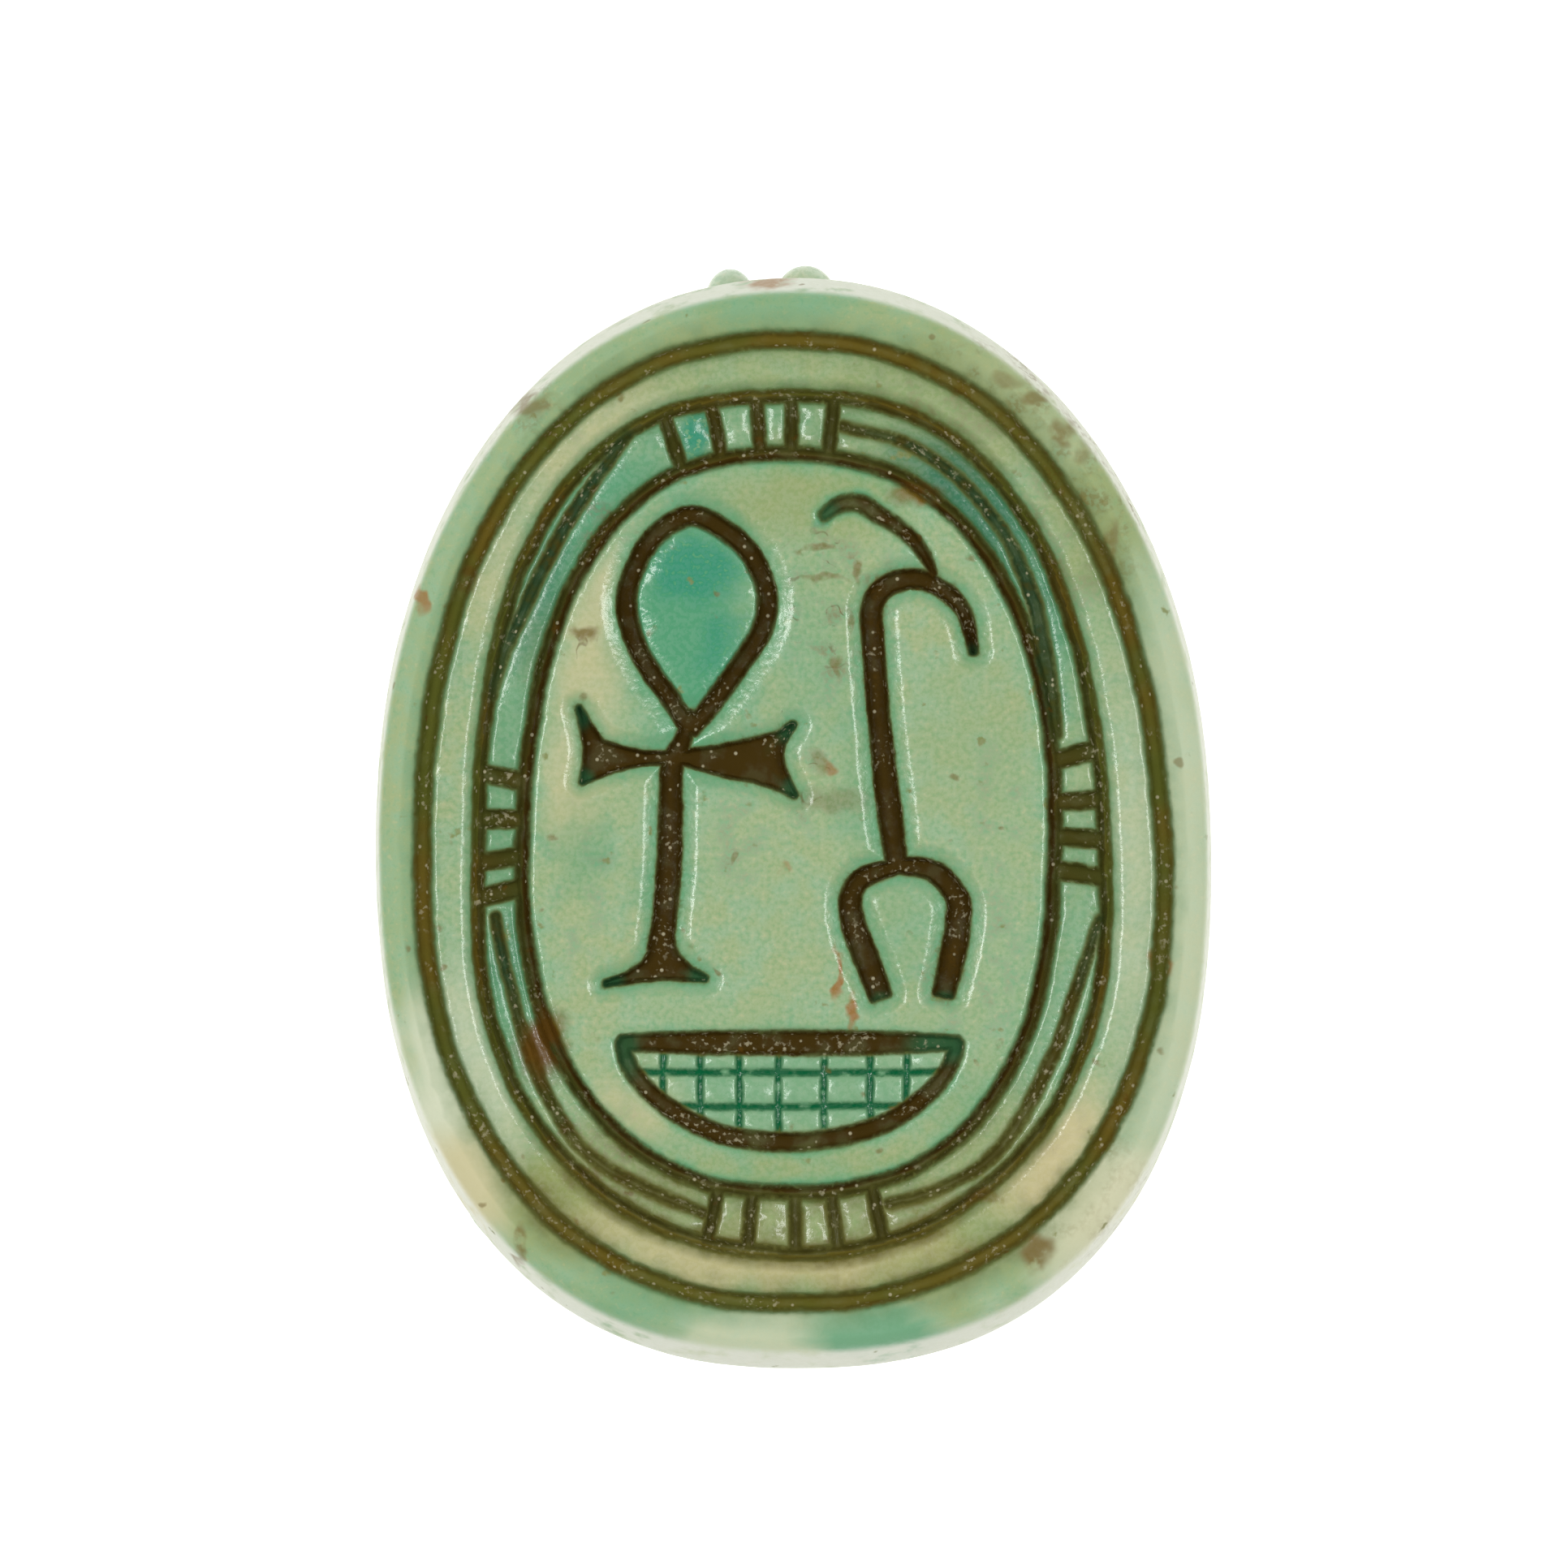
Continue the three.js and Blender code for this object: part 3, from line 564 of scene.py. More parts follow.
def drift(tree, place, scale, detail, reach):
    """A shift by noise, up to about the reach each way."""
    shift = add(tree, "ShaderNodeTexNoise", {"Vector": place, "Scale": scale, "Detail": detail}).outputs["Color"]
    shift = vector(tree, "SUBTRACT", shift, (0.5, 0.5, 0.5))
    return add(tree, "ShaderNodeVectorMath", {0: shift, "Scale": maths(tree, "MULTIPLY", reach, 4.0)},
               operation="SCALE").outputs[0]


def wander(tree, place, scale, detail, reach):
    """The place, strayed by noise."""
    return vector(tree, "ADD", place, drift(tree, place, scale, detail, reach))


def engraving_tree():
    """Cuts the seal face wherever a floor lies under it: floor, steep core, gentle slope and rounded lip."""
    inputs = [("Height", "Float", 7.6), ("Field", "Object", None), ("Lip", "Float", 0.03),
              ("Unsteadiness", "Float", 0.02), ("Crumble", "Float", 0.011), ("Unevenness", "Float", 0.03),
              ("Material", "Material", None)]
    for family in FAMILIES:
        inputs += [(family, "Object", None), (family + " Depth", "Float", 0.3), (family + " Wall", "Float", 0.2),
                   (family + " Slope Depth", "Float", 0.1), (family + " Slope Wall", "Float", 0.2),
                   (family + " Dirt", "Float", 1.0), (family + " Dirt Reach", "Float", 0.1)]
    tree, given = new_tree("Engrave Seal Face", inputs)
    place = add(tree, "GeometryNodeInputPosition").outputs[0]
    probe = wander(tree, place, 0.9, 2.0, given["Unsteadiness"])
    probe = vector(tree, "ADD", probe, drift(tree, place, 6.0, 3.0, given["Crumble"]))
    flat = add(tree, "ShaderNodeSeparateXYZ", (probe,)).outputs
    probe = add(tree, "ShaderNodeCombineXYZ", (flat[0], flat[1], given["Height"])).outputs[0]
    cut, dirt, halo = 0.0, 0.0, 0.0
    aways, fades, outsides = {}, {}, {}
    for family in FAMILIES:
        away = aways[family] = away_from(tree, given[family], probe)
        outside = outsides[family] = maths(tree, "GREATER_THAN", away, ON_FLOOR)
        sloping = (outside,) if family.endswith("Slope") else ()
        for part in ("", " Slope"):
            share = less(tree, 1.0, maths(tree, "DIVIDE", away, given[family + part + " Wall"]))
            depth = times(tree, share, *sloping, given[family + part + " Depth"])
            cut = maths(tree, "SMOOTH_MAX", cut, depth, given["Lip"])
        fade = add(tree, "ShaderNodeMapRange", {0: away, 1: 0.0, 2: given[family + " Dirt Reach"],
                                                3: given[family + " Dirt"], 4: 0.0},
                   interpolation_type="SMOOTHERSTEP").outputs[0]
        fades[family] = times(tree, fade, *sloping)
        dirt = most(tree, dirt, fades[family])
        if family in SHADE_HALO_REACH:
            halo = most(tree, halo, times(tree, stretch(tree, away, SHADE_HALO_REACH[family], SIDE_LIMIT), *sloping))
    rim, border = outsides["Outer Slope"], outsides["Middle Slope"]
    bed = maths(tree, "LESS_THAN", aways["Basket Bed"], ON_FLOOR)
    weave = times(tree, stretch(tree, aways["Lattice"], WEAVE_REACH, 0.0), bed)
    cord = maths(tree, "GREATER_THAN", away_from(tree, given["Field"], probe), ON_FLOOR)
    cord = most(tree, less(tree, cord, border), 0.0)
    on_face = read(tree, "on_face")
    marked = given["Geometry"]
    for name, value in (("cut", cut), ("dirt", dirt), ("cord", cord), ("halo", halo),
                        ("strand", fades["Strands"]), ("bed", bed), ("weave", weave)):
        marked = keep(tree, marked, name, times(tree, value, on_face))
    marked = keep(tree, marked, "rim", rim)
    marked = keep(tree, marked, "border", border)
    uneven = times(tree, less(tree, noise(tree, place, 0.5, 3.0), 0.5), given["Unevenness"])
    sink = less(tree, times(tree, uneven, on_face), read(tree, "cut"))
    drop = add(tree, "ShaderNodeCombineXYZ", (0.0, 0.0, sink)).outputs[0]
    carved = add(tree, "GeometryNodeSetPosition", {"Geometry": marked, "Offset": drop}).outputs[0]
    return end_tree(tree, carved, given["Material"])


# ---------------------------------------------------------------- beetle's legs, head and back
# Each leg: its start, bend and end as an angle from the beetle's flank towards its head and a depth
# below the seal face, its width, and how far it stands out along its length.
LEGS = [
    dict(start=(44, 3.05), bend=(66, 2.75), end=(80, 1.85), width=0.95, rise=(0.44, 0.40)),
    dict(start=(40, 3.0), bend=(22, 2.55), end=(5, 1.7), width=0.85, rise=(0.44, 0.40)),
    dict(start=(10, 3.05), bend=(-28, 2.7), end=(-72, 1.75), width=0.9, rise=(0.30, 0.34, 0.43, 0.62, 0.56)),
]
LEG_POINTS = 161
LEG_TAPER = (0.5, 0.42, 0.28)  # half width along a leg, as a share of its width
HEAD_X = -0.38
# Lumps of the head: place across from the head's middle, place along, depth, and half sizes.
SHIELD = [(0.0, 6.45, 3.5, 2.5, 1.8, 0.8)]
TEETH = [(-0.60, 8.06, 3.45, 0.38, 0.48, 0.42), (0.57, 8.06, 3.45, 0.48, 0.53, 0.42),
         (-1.70, 7.45, 3.45, 0.42, 0.48, 0.42), (1.74, 7.68, 3.45, 0.44, 0.52, 0.42)]
EYES = dict(x=2.15, y=5.9, radius=0.5)
BACK_LINES = [
    [(-5.3, 1.2), (-3.0, 1.75), (0.0, 1.95), (3.0, 1.75), (5.3, 1.2)],
    [(0.0, 1.9), (0.02, -2.0), (0.04, -7.4)],
    [(-3.6, 5.2), (-1.9, 4.5), (-0.38, 4.35), (1.2, 4.5), (3.0, 5.2)],
    [(-1.7, 4.55), (-1.75, 5.6), (-1.35, 6.6)],
    [(0.95, 4.55), (1.0, 5.6), (0.6, 6.6)],
    [(-4.6, 3.3), (-3.9, 2.4), (-3.3, 1.75)],
    [(4.6, 3.3), (3.9, 2.4), (3.3, 1.75)],
]
BACK_LINE_WIDTH, BACK_LINE_DEPTH = 0.24, 0.2
# The threading hole: its radius and depth below the seal face, and how its worn mouths flare.
BORE_RADIUS = 0.75
BORE_DEPTH = 2.35
MOUTHS = (7.6, -7.9)
MOUTH_FLARE, MOUTH_LENGTH = 0.35, 0.5


def side_point(degrees, depth, height):
    """A point on the body's side in one direction, at a depth below the seal face."""
    levels = np.array(LEVELS)
    inside = [np.interp(depth, levels[:, 3], levels[:, k]) for k in range(3)]
    direction = math.radians(degrees)
    reach = oval_reach(inset(OUTLINE, *inside), BACK_MIDDLE, direction)
    return (BACK_MIDDLE[0] + reach * math.cos(direction), BACK_MIDDLE[1] + reach * math.sin(direction),
            height - depth)


def back_point(x, y, height):
    """A point on the beetle's back."""
    arm = np.array([x, y]) - BACK_MIDDLE
    direction = math.atan2(arm[1], arm[0])
    share = np.hypot(*arm) / oval_reach(inset(OUTLINE, *LEVELS[-1][:3]), BACK_MIDDLE, direction)
    return (x, y, height - float(back_depth(min(1.0, share), direction, height)))


def build_lines(name, routes):
    """Open lines as edges, each point with its own half width and height."""
    points, edges, widths, rises = [], [], [], []
    for route, width, rise in routes:
        start = len(points)
        points += [tuple(p) for p in route]
        edges += [(i, i + 1) for i in range(start, len(points) - 1)]
        along = np.linspace(0, 1, len(route))
        widths += list(np.interp(along, np.linspace(0, 1, len(width)), width))
        rises += list(np.interp(along, np.linspace(0, 1, len(rise)), rise))
    mesh = bpy.data.meshes.new(name)
    mesh.from_pydata(points, edges, [])
    mesh.attributes.new("width", "FLOAT", "POINT").data.foreach_set("value", widths)
    mesh.attributes.new("rise", "FLOAT", "POINT").data.foreach_set("value", rises)
    return put(name, mesh)


def leg_lines(height):
    """The six legs folded against the beetle's sides."""
    routes = []
    for leg in LEGS:
        steps = np.linspace(0, 1, LEG_POINTS)[:, None]
        start, bend, end = (np.array(leg[key], float) for key in ("start", "bend", "end"))
        track = start * (1 - steps) ** 2 + bend * 2 * steps * (1 - steps) + end * steps ** 2
        for mirrored in (False, True):
            routes.append(([side_point(180 - a if mirrored else a, d, height) for a, d in track],
                           [leg["width"] * share for share in LEG_TAPER], leg["rise"]))
    return build_lines("leg_lines", routes)


def back_lines(height):
    """The lines between head, thorax and wing cases."""
    routes = [([back_point(x, y, height) for x, y in spline(line, 12 * len(line))],
               (BACK_LINE_WIDTH,), (BACK_LINE_DEPTH,)) for line in BACK_LINES]
    return build_lines("back_lines", routes)


def beetle_tree():
    """Raises the legs as rounded ridges and cuts the back's lines as rounded furrows."""
    inputs = [("Legs", "Object", None), ("Lines", "Object", None), ("Unevenness", "Float", 0.03),
              ("Material", "Material", None)]
    tree, given = new_tree("Carve Beetle", inputs)
    place = add(tree, "GeometryNodeInputPosition").outputs[0]
    probe = wander(tree, place, 0.8, 2.0, 0.05)
    shares = []
    for source in ("Legs", "Lines"):
        lines = add(tree, "GeometryNodeObjectInfo", {"Object": given[source]}).outputs["Geometry"]
        near = add(tree, "GeometryNodeProximity", {0: lines, "Sample Position": probe},
                   target_element="EDGES").outputs
        closest = add(tree, "GeometryNodeSampleNearest", {"Geometry": lines, "Sample Position": near["Position"]},
                      domain="POINT").outputs[0]
        width, rise = (
            add(tree, "GeometryNodeSampleIndex", {"Geometry": lines, "Value": read(tree, name), "Index": closest},
                data_type="FLOAT", domain="POINT").outputs[0] for name in ("width", "rise"))
        share = maths(tree, "DIVIDE", near["Distance"], width)
        shares.append((most(tree, 0.0, less(tree, 1.0, times(tree, share, share))), rise))
    off_face = less(tree, 1.0, read(tree, "on_face"))
    (leg, leg_rise), (line, line_depth) = shares
    rise = times(tree, maths(tree, "POWER", leg, 0.75), leg_rise)
    furrow = times(tree, line, line, line_depth)
    uneven = times(tree, less(tree, noise(tree, place, 0.6, 4.0), 0.5), given["Unevenness"])
    swell = maths(tree, "ADD", less(tree, rise, furrow), uneven)
    low = add(tree, "ShaderNodeSeparateXYZ", (place,)).outputs[2]
    swell = times(tree, swell, off_face, stretch(tree, low, 0.02, 0.3))
    normal = add(tree, "GeometryNodeInputNormal").outputs[0]
    shift = add(tree, "ShaderNodeVectorMath", {0: normal, "Scale": swell}, operation="SCALE").outputs[0]
    marked = keep(tree, given["Geometry"], "groove", times(tree, line, off_face))
    carved = add(tree, "GeometryNodeSetPosition", {"Geometry": marked, "Offset": shift}).outputs[0]
    return end_tree(tree, carved, given["Material"])


def lump(x, y, depth, width, reach, rise, height):
    """A rounded lump with its middle at a depth below the seal face."""
    mesh = bpy.data.meshes.new("lump")
    ball = bmesh.new()
    bmesh.ops.create_icosphere(ball, subdivisions=4, radius=1.0)
    for point in ball.verts:
        point.co = (x + point.co.x * width, y + point.co.y * reach, height - depth + point.co.z * rise)
    ball.to_mesh(mesh)
    ball.free()
    return put("lump", mesh)


def head_lumps(height):
    """The head's shield, teeth and eyes."""
    lumps = [lump(HEAD_X + x, *rest, height) for x, *rest in SHIELD + TEETH]
    for side in (-1, 1):
        x, y, z = back_point(HEAD_X + side * EYES["x"], EYES["y"], height)
        lumps.append(lump(x, y, height - z, EYES["radius"], EYES["radius"], EYES["radius"] * 0.7, height))
    return lumps


def bore_cutter(height):
    """The threading hole from head to tail, with worn mouths."""
    mesh = bpy.data.meshes.new("bore")
    steps = np.linspace(-10, 10, 161)
    flare = sum(MOUTH_FLARE * np.exp(-((steps - mouth) / MOUTH_LENGTH) ** 2) for mouth in MOUTHS)
    turn = np.linspace(0, TAU, 64, endpoint=False)
    points = [(r * math.cos(a), y, height - BORE_DEPTH + r * math.sin(a))
              for y, r in zip(steps, BORE_RADIUS + flare) for a in turn]
    count = len(turn)
    faces = [(i * count + k, i * count + (k + 1) % count, (i + 1) * count + (k + 1) % count, (i + 1) * count + k)
             for i in range(len(steps) - 1) for k in range(count)]
    faces += [tuple(reversed(range(count))), tuple(range(len(points) - count, len(points)))]
    mesh.from_pydata(points, [], faces)
    whole = bmesh.new()
    whole.from_mesh(mesh)
    bmesh.ops.recalc_face_normals(whole, faces=whole.faces[:])
    whole.to_mesh(mesh)
    whole.free()
    return put("bore", mesh)


def combine(piece, other, operation):
    """Joins another closed mesh to the piece or cuts it away, and removes the other."""
    step = piece.modifiers.new(operation, "BOOLEAN")
    step.operation, step.object, step.solver = operation, other, "MANIFOLD"
    settle(piece, step)
    bpy.data.objects.remove(other)


# ---------------------------------------------------------------- glaze
# Patches of the glaze, in millimetres: (x, y), (half width, half length), strength.
# These are written on the mesh as attributes, and fade out over the face's edge.
STAINS = {
    # pale: rubbed glaze on the border, with a painted sheen along the rim.
    "pale": [((5.8, -1.5), (1.1, 6.0), 0.55), ((4.8, -6.2), (1.4, 1.6), 1.0), ((-5.2, -4.6), (1.1, 2.4), 1.0),
             ((0.6, -8.2), (4.0, 0.7), 0.65), ((3.9, 6.6), (1.4, 1.2), 0.3)],
    "olive": [((2.4, 6.4), (2.6, 1.4), 0.5), ((-1.0, 7.0), (2.8, 0.7), 0.35), ((0.6, -6.5), (3.4, 1.1), 1.0),
              ((-2.8, -5.8), (1.9, 1.1), 0.9), ((3.2, -5.3), (1.3, 1.4), 0.7), ((0.0, -5.5), (2.8, 0.6), 0.7),
              ((-4.6, -5.4), (1.0, 1.4), 0.2), ((4.8, 4.6), (0.9, 1.6), 0.5), ((0.2, 5.0), (1.6, 0.8), 1.0),
              ((2.8, 1.6), (1.0, 1.6), 0.3)],
    "buff": [((-3.2, 3.0), (0.7, 1.5), 0.6), ((-3.35, 0.9), (0.5, 1.1), 0.5), ((-2.7, -4.7), (0.8, 0.9), 0.6),
             ((4.9, -6.1), (1.0, 1.2), 0.35), ((-5.0, -5.6), (0.8, 1.0), 0.7)],
    "deep": [((2.7, 4.9), (1.4, 1.5), 1.0), ((3.8, 2.8), (0.5, 1.2), 0.7), ((-3.9, 3.4), (0.6, 1.3), 0.6),
             ((-4.3, -2.2), (0.5, 0.9), 0.5)],
    "tips": [((-2.87, -2.5), (0.3, 0.2), 0.7), ((-1.4, -2.42), (0.25, 0.2), 0.7), ((-3.28, 1.66), (0.2, 0.3), 0.8),
             ((0.0, 1.4), (0.3, 0.3), 0.7), ((0.0, 0.42), (0.2, 0.25), 0.7), ((-3.25, 0.6), (0.2, 0.2), 0.7),
             ((2.75, 2.5), (0.2, 0.2), 0.5), ((0.44, 4.66), (0.3, 0.3), 0.9), ((2.3, -3.5), (0.6, 0.3), 0.7),
             ((-2.6, -3.6), (0.25, 0.5), 0.6), ((1.36, -2.85), (0.2, 0.2), 0.6), ((2.32, -2.82), (0.2, 0.2), 0.6)],
    "ridge_buff": [((-3.3, 6.0), (1.6, 1.5), 0.5), ((-4.5, 4.0), (0.6, 1.4), 0.4), ((-0.6, -6.6), (3.0, 0.8), 0.7),
                   ((4.2, -5.2), (1.2, 1.4), 0.9)],
    "moss": [((2.9, 4.4), (2.2, 3.2), 1.0), ((-3.5, 4.0), (1.6, 3.2), 1.0), ((-4.3, -1.6), (0.8, 1.6), 1.0),
             ((4.3, -1.4), (0.7, 1.5), 0.6)],
    "turquoise": [((-1.55, 2.85), (1.15, 2.1), 1.0), ((-3.2, -0.35), (0.6, 0.9), 0.5), ((0.0, -4.2), (2.6, 0.9), 0.6),
                  ((-0.4, 8.0), (1.6, 0.5), 0.35), ((1.4, -7.9), (1.2, 0.35), 0.8),
                  ((-2.2, -7.6), (1.8, 0.5), 0.35), ((0.3, 2.6), (0.7, 1.6), 0.25),
                  ((1.1, 1.0), (0.45, 2.0), 0.35), ((-2.0, -1.2), (0.5, 1.2), 0.35),
                  ((1.7, -1.8), (1.1, 1.1), 0.25)],
    "sea": [((3.3, 3.9), (1.8, 3.0), 0.95), ((-3.2, 4.6), (2.0, 1.9), 0.9), ((-4.5, 1.0), (0.9, 3.4), 0.6),
            ((-4.2, -2.4), (0.9, 1.5), 0.8), ((4.2, -2.3), (1.0, 2.6), 0.35), ((0.0, 6.3), (2.0, 0.6), 0.5)],
}
# Faint brown haze and the places with fine cracks, also written on the mesh.
HAZES = {
    "haze": [((0.75, 3.3), (0.8, 1.6), 0.6), ((0.3, 0.4), (0.8, 0.6), 0.5), ((-0.9, -0.4), (0.5, 0.8), 0.35),
             ((3.2, -0.6), (0.5, 2.2), 0.3), ((2.7, -2.6), (0.8, 0.8), 0.35), ((-3.3, -0.9), (0.4, 1.6), 0.35),
             ((-3.0, 4.6), (0.5, 0.5), 0.5), ((4.6, 5.0), (1.0, 1.8), 0.5), ((-3.2, -5.0), (1.0, 0.8), 0.4),
             ((3.0, 6.6), (1.6, 0.8), 0.5), ((4.6, -5.6), (1.0, 1.4), 0.2), ((-4.2, 6.2), (1.0, 0.8), 0.4)],
    "cracked": [((0.6, 3.4), (0.8, 1.3), 1.0), ((0.3, 0.5), (0.7, 0.5), 0.9), ((-3.2, 2.8), (0.4, 0.5), 0.8)],
}
# Spots too small for the mesh, which the glaze itself lays out.
TEAL_SPOTS = [((-1.5, 3.85), (0.8, 0.6), 0.85), ((-1.05, 2.7), (0.45, 0.6), 0.6), ((-1.52, 5.93), (0.34, 0.5), 1.0),
              ((0.46, 4.66), (0.14, 0.16), 0.8)]
RUST_SPOTS = [((-5.72, 3.4), (0.08, 0.22), 0.8), ((5.65, -2.25), (0.2, 0.26), 0.9), ((1.9, 5.0), (0.32, 0.14), 0.9),
              ((0.67, -2.4), (0.06, 0.42), 0.9), ((0.86, -2.95), (0.07, 0.32), 0.9), ((-0.42, 8.32), (0.4, 0.16), 0.7),
              ((0.55, 0.8), (0.12, 0.12), 0.7), ((-0.2, -0.8), (0.1, 0.1), 0.6)]
BROWN_SPOTS = [((-4.0, 6.35), (0.5, 0.2), 0.7), ((3.3, 6.75), (0.3, 0.12), 0.5), ((3.7, 6.45), (0.22, 0.14), 0.7),
               ((4.15, 5.95), (0.18, 0.22), 0.7), ((4.45, 5.6), (0.12, 0.2), 0.5), ((-3.85, -3.45), (0.42, 0.6), 1.0),
               ((3.7, -6.65), (0.26, 0.3), 0.9), ((-4.2, -6.5), (0.1, 0.35), 0.8), ((2.95, -5.8), (0.3, 0.12), 0.5),
               ((0.33, 4.15), (0.3, 0.08), 0.7), ((0.96, 3.86), (0.08, 0.2), 0.7), ((0.84, 3.1), (0.07, 0.25), 0.6),
               ((0.66, 2.3), (0.08, 0.2), 0.7), ((0.45, 3.7), (0.35, 0.08), 0.6), ((0.6, 0.3), (0.6, 0.25), 0.4),
               ((-3.2, 2.85), (0.25, 0.1), 0.8), ((4.9, 4.3), (0.12, 0.35), 0.6), ((0.35, 0.9), (0.2, 0.2), 0.5),
               ((-5.0, 3.7), (0.14, 0.2), 0.6), ((1.9, 5.0), (0.5, 0.2), 0.7)]
PATCH_EDGE = 1.3  # a patch ends at this many times its half sizes
FACE_EDGE = (5.9, 6.4)  # heights between which the broad patches fade out down the sides
SPOT_EDGE = (5.2, 6.0)  # and the spots
SPOT_STRAY = (2.2, 2.0, 0.12)  # noise scale, detail and reach by which the spots stray


def patches(tree, place, spots, edge=0.45):
    """Soft-edged patches as one factor: the strongest at each point."""
    total = 0.0
    for (x, y), (wide, long), strength in spots:
        arm = vector(tree, "MULTIPLY_ADD", place, (1 / wide, 1 / long, 0.0), (-x / wide, -y / long, 0.0))
        away = add(tree, "ShaderNodeVectorMath", (arm,), operation="LENGTH").outputs["Value"]
        total = most(tree, total, stretch(tree, away, PATCH_EDGE, edge, strength))
    return total


def stain_tree():
    """Writes each broad patch of the glaze on the seal face as an attribute."""
    tree, given = new_tree("Stain Seal Face", [("Stray", "Float", 0.4), ("Material", "Material", None)])
    place = add(tree, "GeometryNodeInputPosition").outputs[0]
    strayed = wander(tree, place, 1.1, 4.0, given["Stray"])
    height = add(tree, "ShaderNodeSeparateXYZ", (place,)).outputs[2]
    low, high = FACE_EDGE
    facing = add(tree, "ShaderNodeMapRange", {0: height, 1: low, 2: high, 3: 0.0, 4: 1.0}).outputs[0]
    stained = given["Geometry"]
    for name, spots in STAINS.items():
        around = place if name == "tips" else strayed
        stained = keep(tree, stained, name, times(tree, patches(tree, around, spots), facing))
    for name, around in (("haze", wander(tree, place, *SPOT_STRAY)), ("cracked", place)):
        stained = keep(tree, stained, name, patches(tree, around, HAZES[name]))
    return end_tree(tree, stained, given["Material"])


def blend(tree, factor, below, above):
    """Two colours mixed by a factor; each is a socket or a plain colour."""
    node = add(tree, "ShaderNodeMix", data_type="RGBA")
    for key, value in ((0, factor), (6, below), (7, above)):
        if isinstance(value, bpy.types.NodeSocket):
            tree.links.new(value, node.inputs[key])
        elif key:
            node.inputs[key].default_value = (*value[:3], 1.0)
        else:
            node.inputs[key].default_value = value
    return node.outputs[2]


def stored(tree, name):
    return add(tree, "ShaderNodeAttribute", attribute_name=name).outputs["Fac"]


def glaze_colour(tree, colours, noises):
    """The glaze over the flats and the walls of the cuts."""
    fine, specks = noises["fine"], noises["specks"]
    tone = blend(tree, stretch(tree, noises["broad"], 0.35, 0.65), colours.sage, colours.olive)
    tone = blend(tree, stretch(tree, fine, 0.35, 0.7, 0.8), tone, colours.mint)
    tone = blend(tree, stretch(tree, specks, 0.55, 0.75, 0.3), tone, colours.buff)
    tone = blend(tree, stretch(tree, specks, 0.48, 0.3, 0.3), tone, colours.pool)
    cord, border, rim = stored(tree, "cord"), stored(tree, "border"), stored(tree, "rim")
    olive, off_cord = stored(tree, "olive"), less(tree, 1.0, cord)
    ridge = less(tree, border, rim)
    # Pale border and rim: partly rubbed glaze, partly a painted sheen where the rim catches the light.
    rubbed_and_sheen = maths(tree, "MULTIPLY_ADD", ridge, 0.6, rim)
    yellowed = times(tree, maths(tree, "MULTIPLY_ADD", border, 0.4, 0.6), olive)
    for factor, shade in (
        (times(tree, rubbed_and_sheen, stored(tree, "pale")), colours.pale),
        (times(tree, off_cord, yellowed), colours.deep_olive),
        (stored(tree, "turquoise"), colours.turquoise),
        (times(tree, off_cord, stored(tree, "buff")), colours.buff),
        (times(tree, ridge, stored(tree, "ridge_buff")), colours.buff),
        (times(tree, cord, stored(tree, "sea")), colours.sea),
        (times(tree, cord, olive, 0.5), colours.deep_olive),
        (times(tree, cord, stored(tree, "deep")), colours.deep_sea),
    ):
        tone = blend(tree, factor, tone, shade)
    return tone


def pooled_colour(tree, colours, noises, tone, heights, on_ring, weave):
    """The glaze run into the cuts, with painted shade beside them, and a whitish mix of wear and painted sheen over
    the outer edge.
    """
    fine, olive, bed = noises["fine"], stored(tree, "olive"), stored(tree, "bed")
    pool = blend(tree, olive, colours.pool, colours.olive_pool)
    tone = blend(tree, stretch(tree, stored(tree, "cut"), 0.01, 0.15, 0.65), tone, pool)
    # Painted shade beside the cuts.
    halo = maths(tree, "ADD", 0.28, stretch(tree, fine, 0.35, 0.65, 0.25))
    halo = times(tree, stored(tree, "halo"), halo, maths(tree, "MULTIPLY_ADD", olive, 1.3, 1.0), less(tree, 1.0, bed))
    beside = blend(tree, olive, colours.halo, colours.olive_shade_halo)
    tone = blend(tree, halo, tone, blend(tree, on_ring, colours.pool, beside))
    tone = blend(tree, times(tree, bed, 0.35), tone, colours.mint)
    tone = blend(tree, weave, tone, colours.weave)
    height, uncut = heights
    # Whitish over the bevel, sides and back: partly wear, partly a painted sheen where the edges catch the light and
    # the pale floor.
    wear_and_sheen = times(tree, stretch(tree, uncut, 7.5, 7.2), stretch(tree, fine, 0.15, 0.5, 0.9),
                 maths(tree, "ADD", 0.35, stretch(tree, height, 5.4, 6.2, 0.65)))
    return blend(tree, wear_and_sheen, tone, colours.wear_and_sheen)


def soil_colour(tree, colours, noises, place, on_ring):
    """The old dirt, with pale dust and fluff caught in it, and small pale dots painted as glints."""
    fine = noises["fine"]
    soil = blend(tree, stretch(tree, noises["broad"], 0.4, 0.6), colours.dirt, colours.dark_green)
    soil = blend(tree, stored(tree, "olive"), soil, colours.olive_dirt)
    soil = blend(tree, on_ring, colours.emblem_dirt, soil)
    soil = blend(tree, times(tree, stored(tree, "cord"), 0.7), soil, colours.cord_dirt)
    moss = times(tree, stored(tree, "strand"), stored(tree, "moss"), stretch(tree, fine, 0.7, 0.45))
    soil = blend(tree, moss, soil, colours.strand_dirt)
    soil = blend(tree, stored(tree, "tips"), soil, colours.tip)
    # Small pale dots in the cuts: painted glints.
    grains = add(tree, "ShaderNodeTexVoronoi", {"Vector": place, "Scale": 8.0}).outputs
    chosen = add(tree, "ShaderNodeSeparateColor", (grains["Color"],)).outputs[0]
    glint_dots = times(tree, stretch(tree, grains["Distance"], 0.3, 0.12), stretch(tree, chosen, 0.76, 0.78, 0.7))
    fluff = times(tree, stretch(tree, noises["specks"], 0.54, 0.68, 0.5), stretch(tree, noises["marks"], 0.48, 0.6))
    return blend(tree, most(tree, glint_dots, fluff), soil, colours.dust_and_glints)


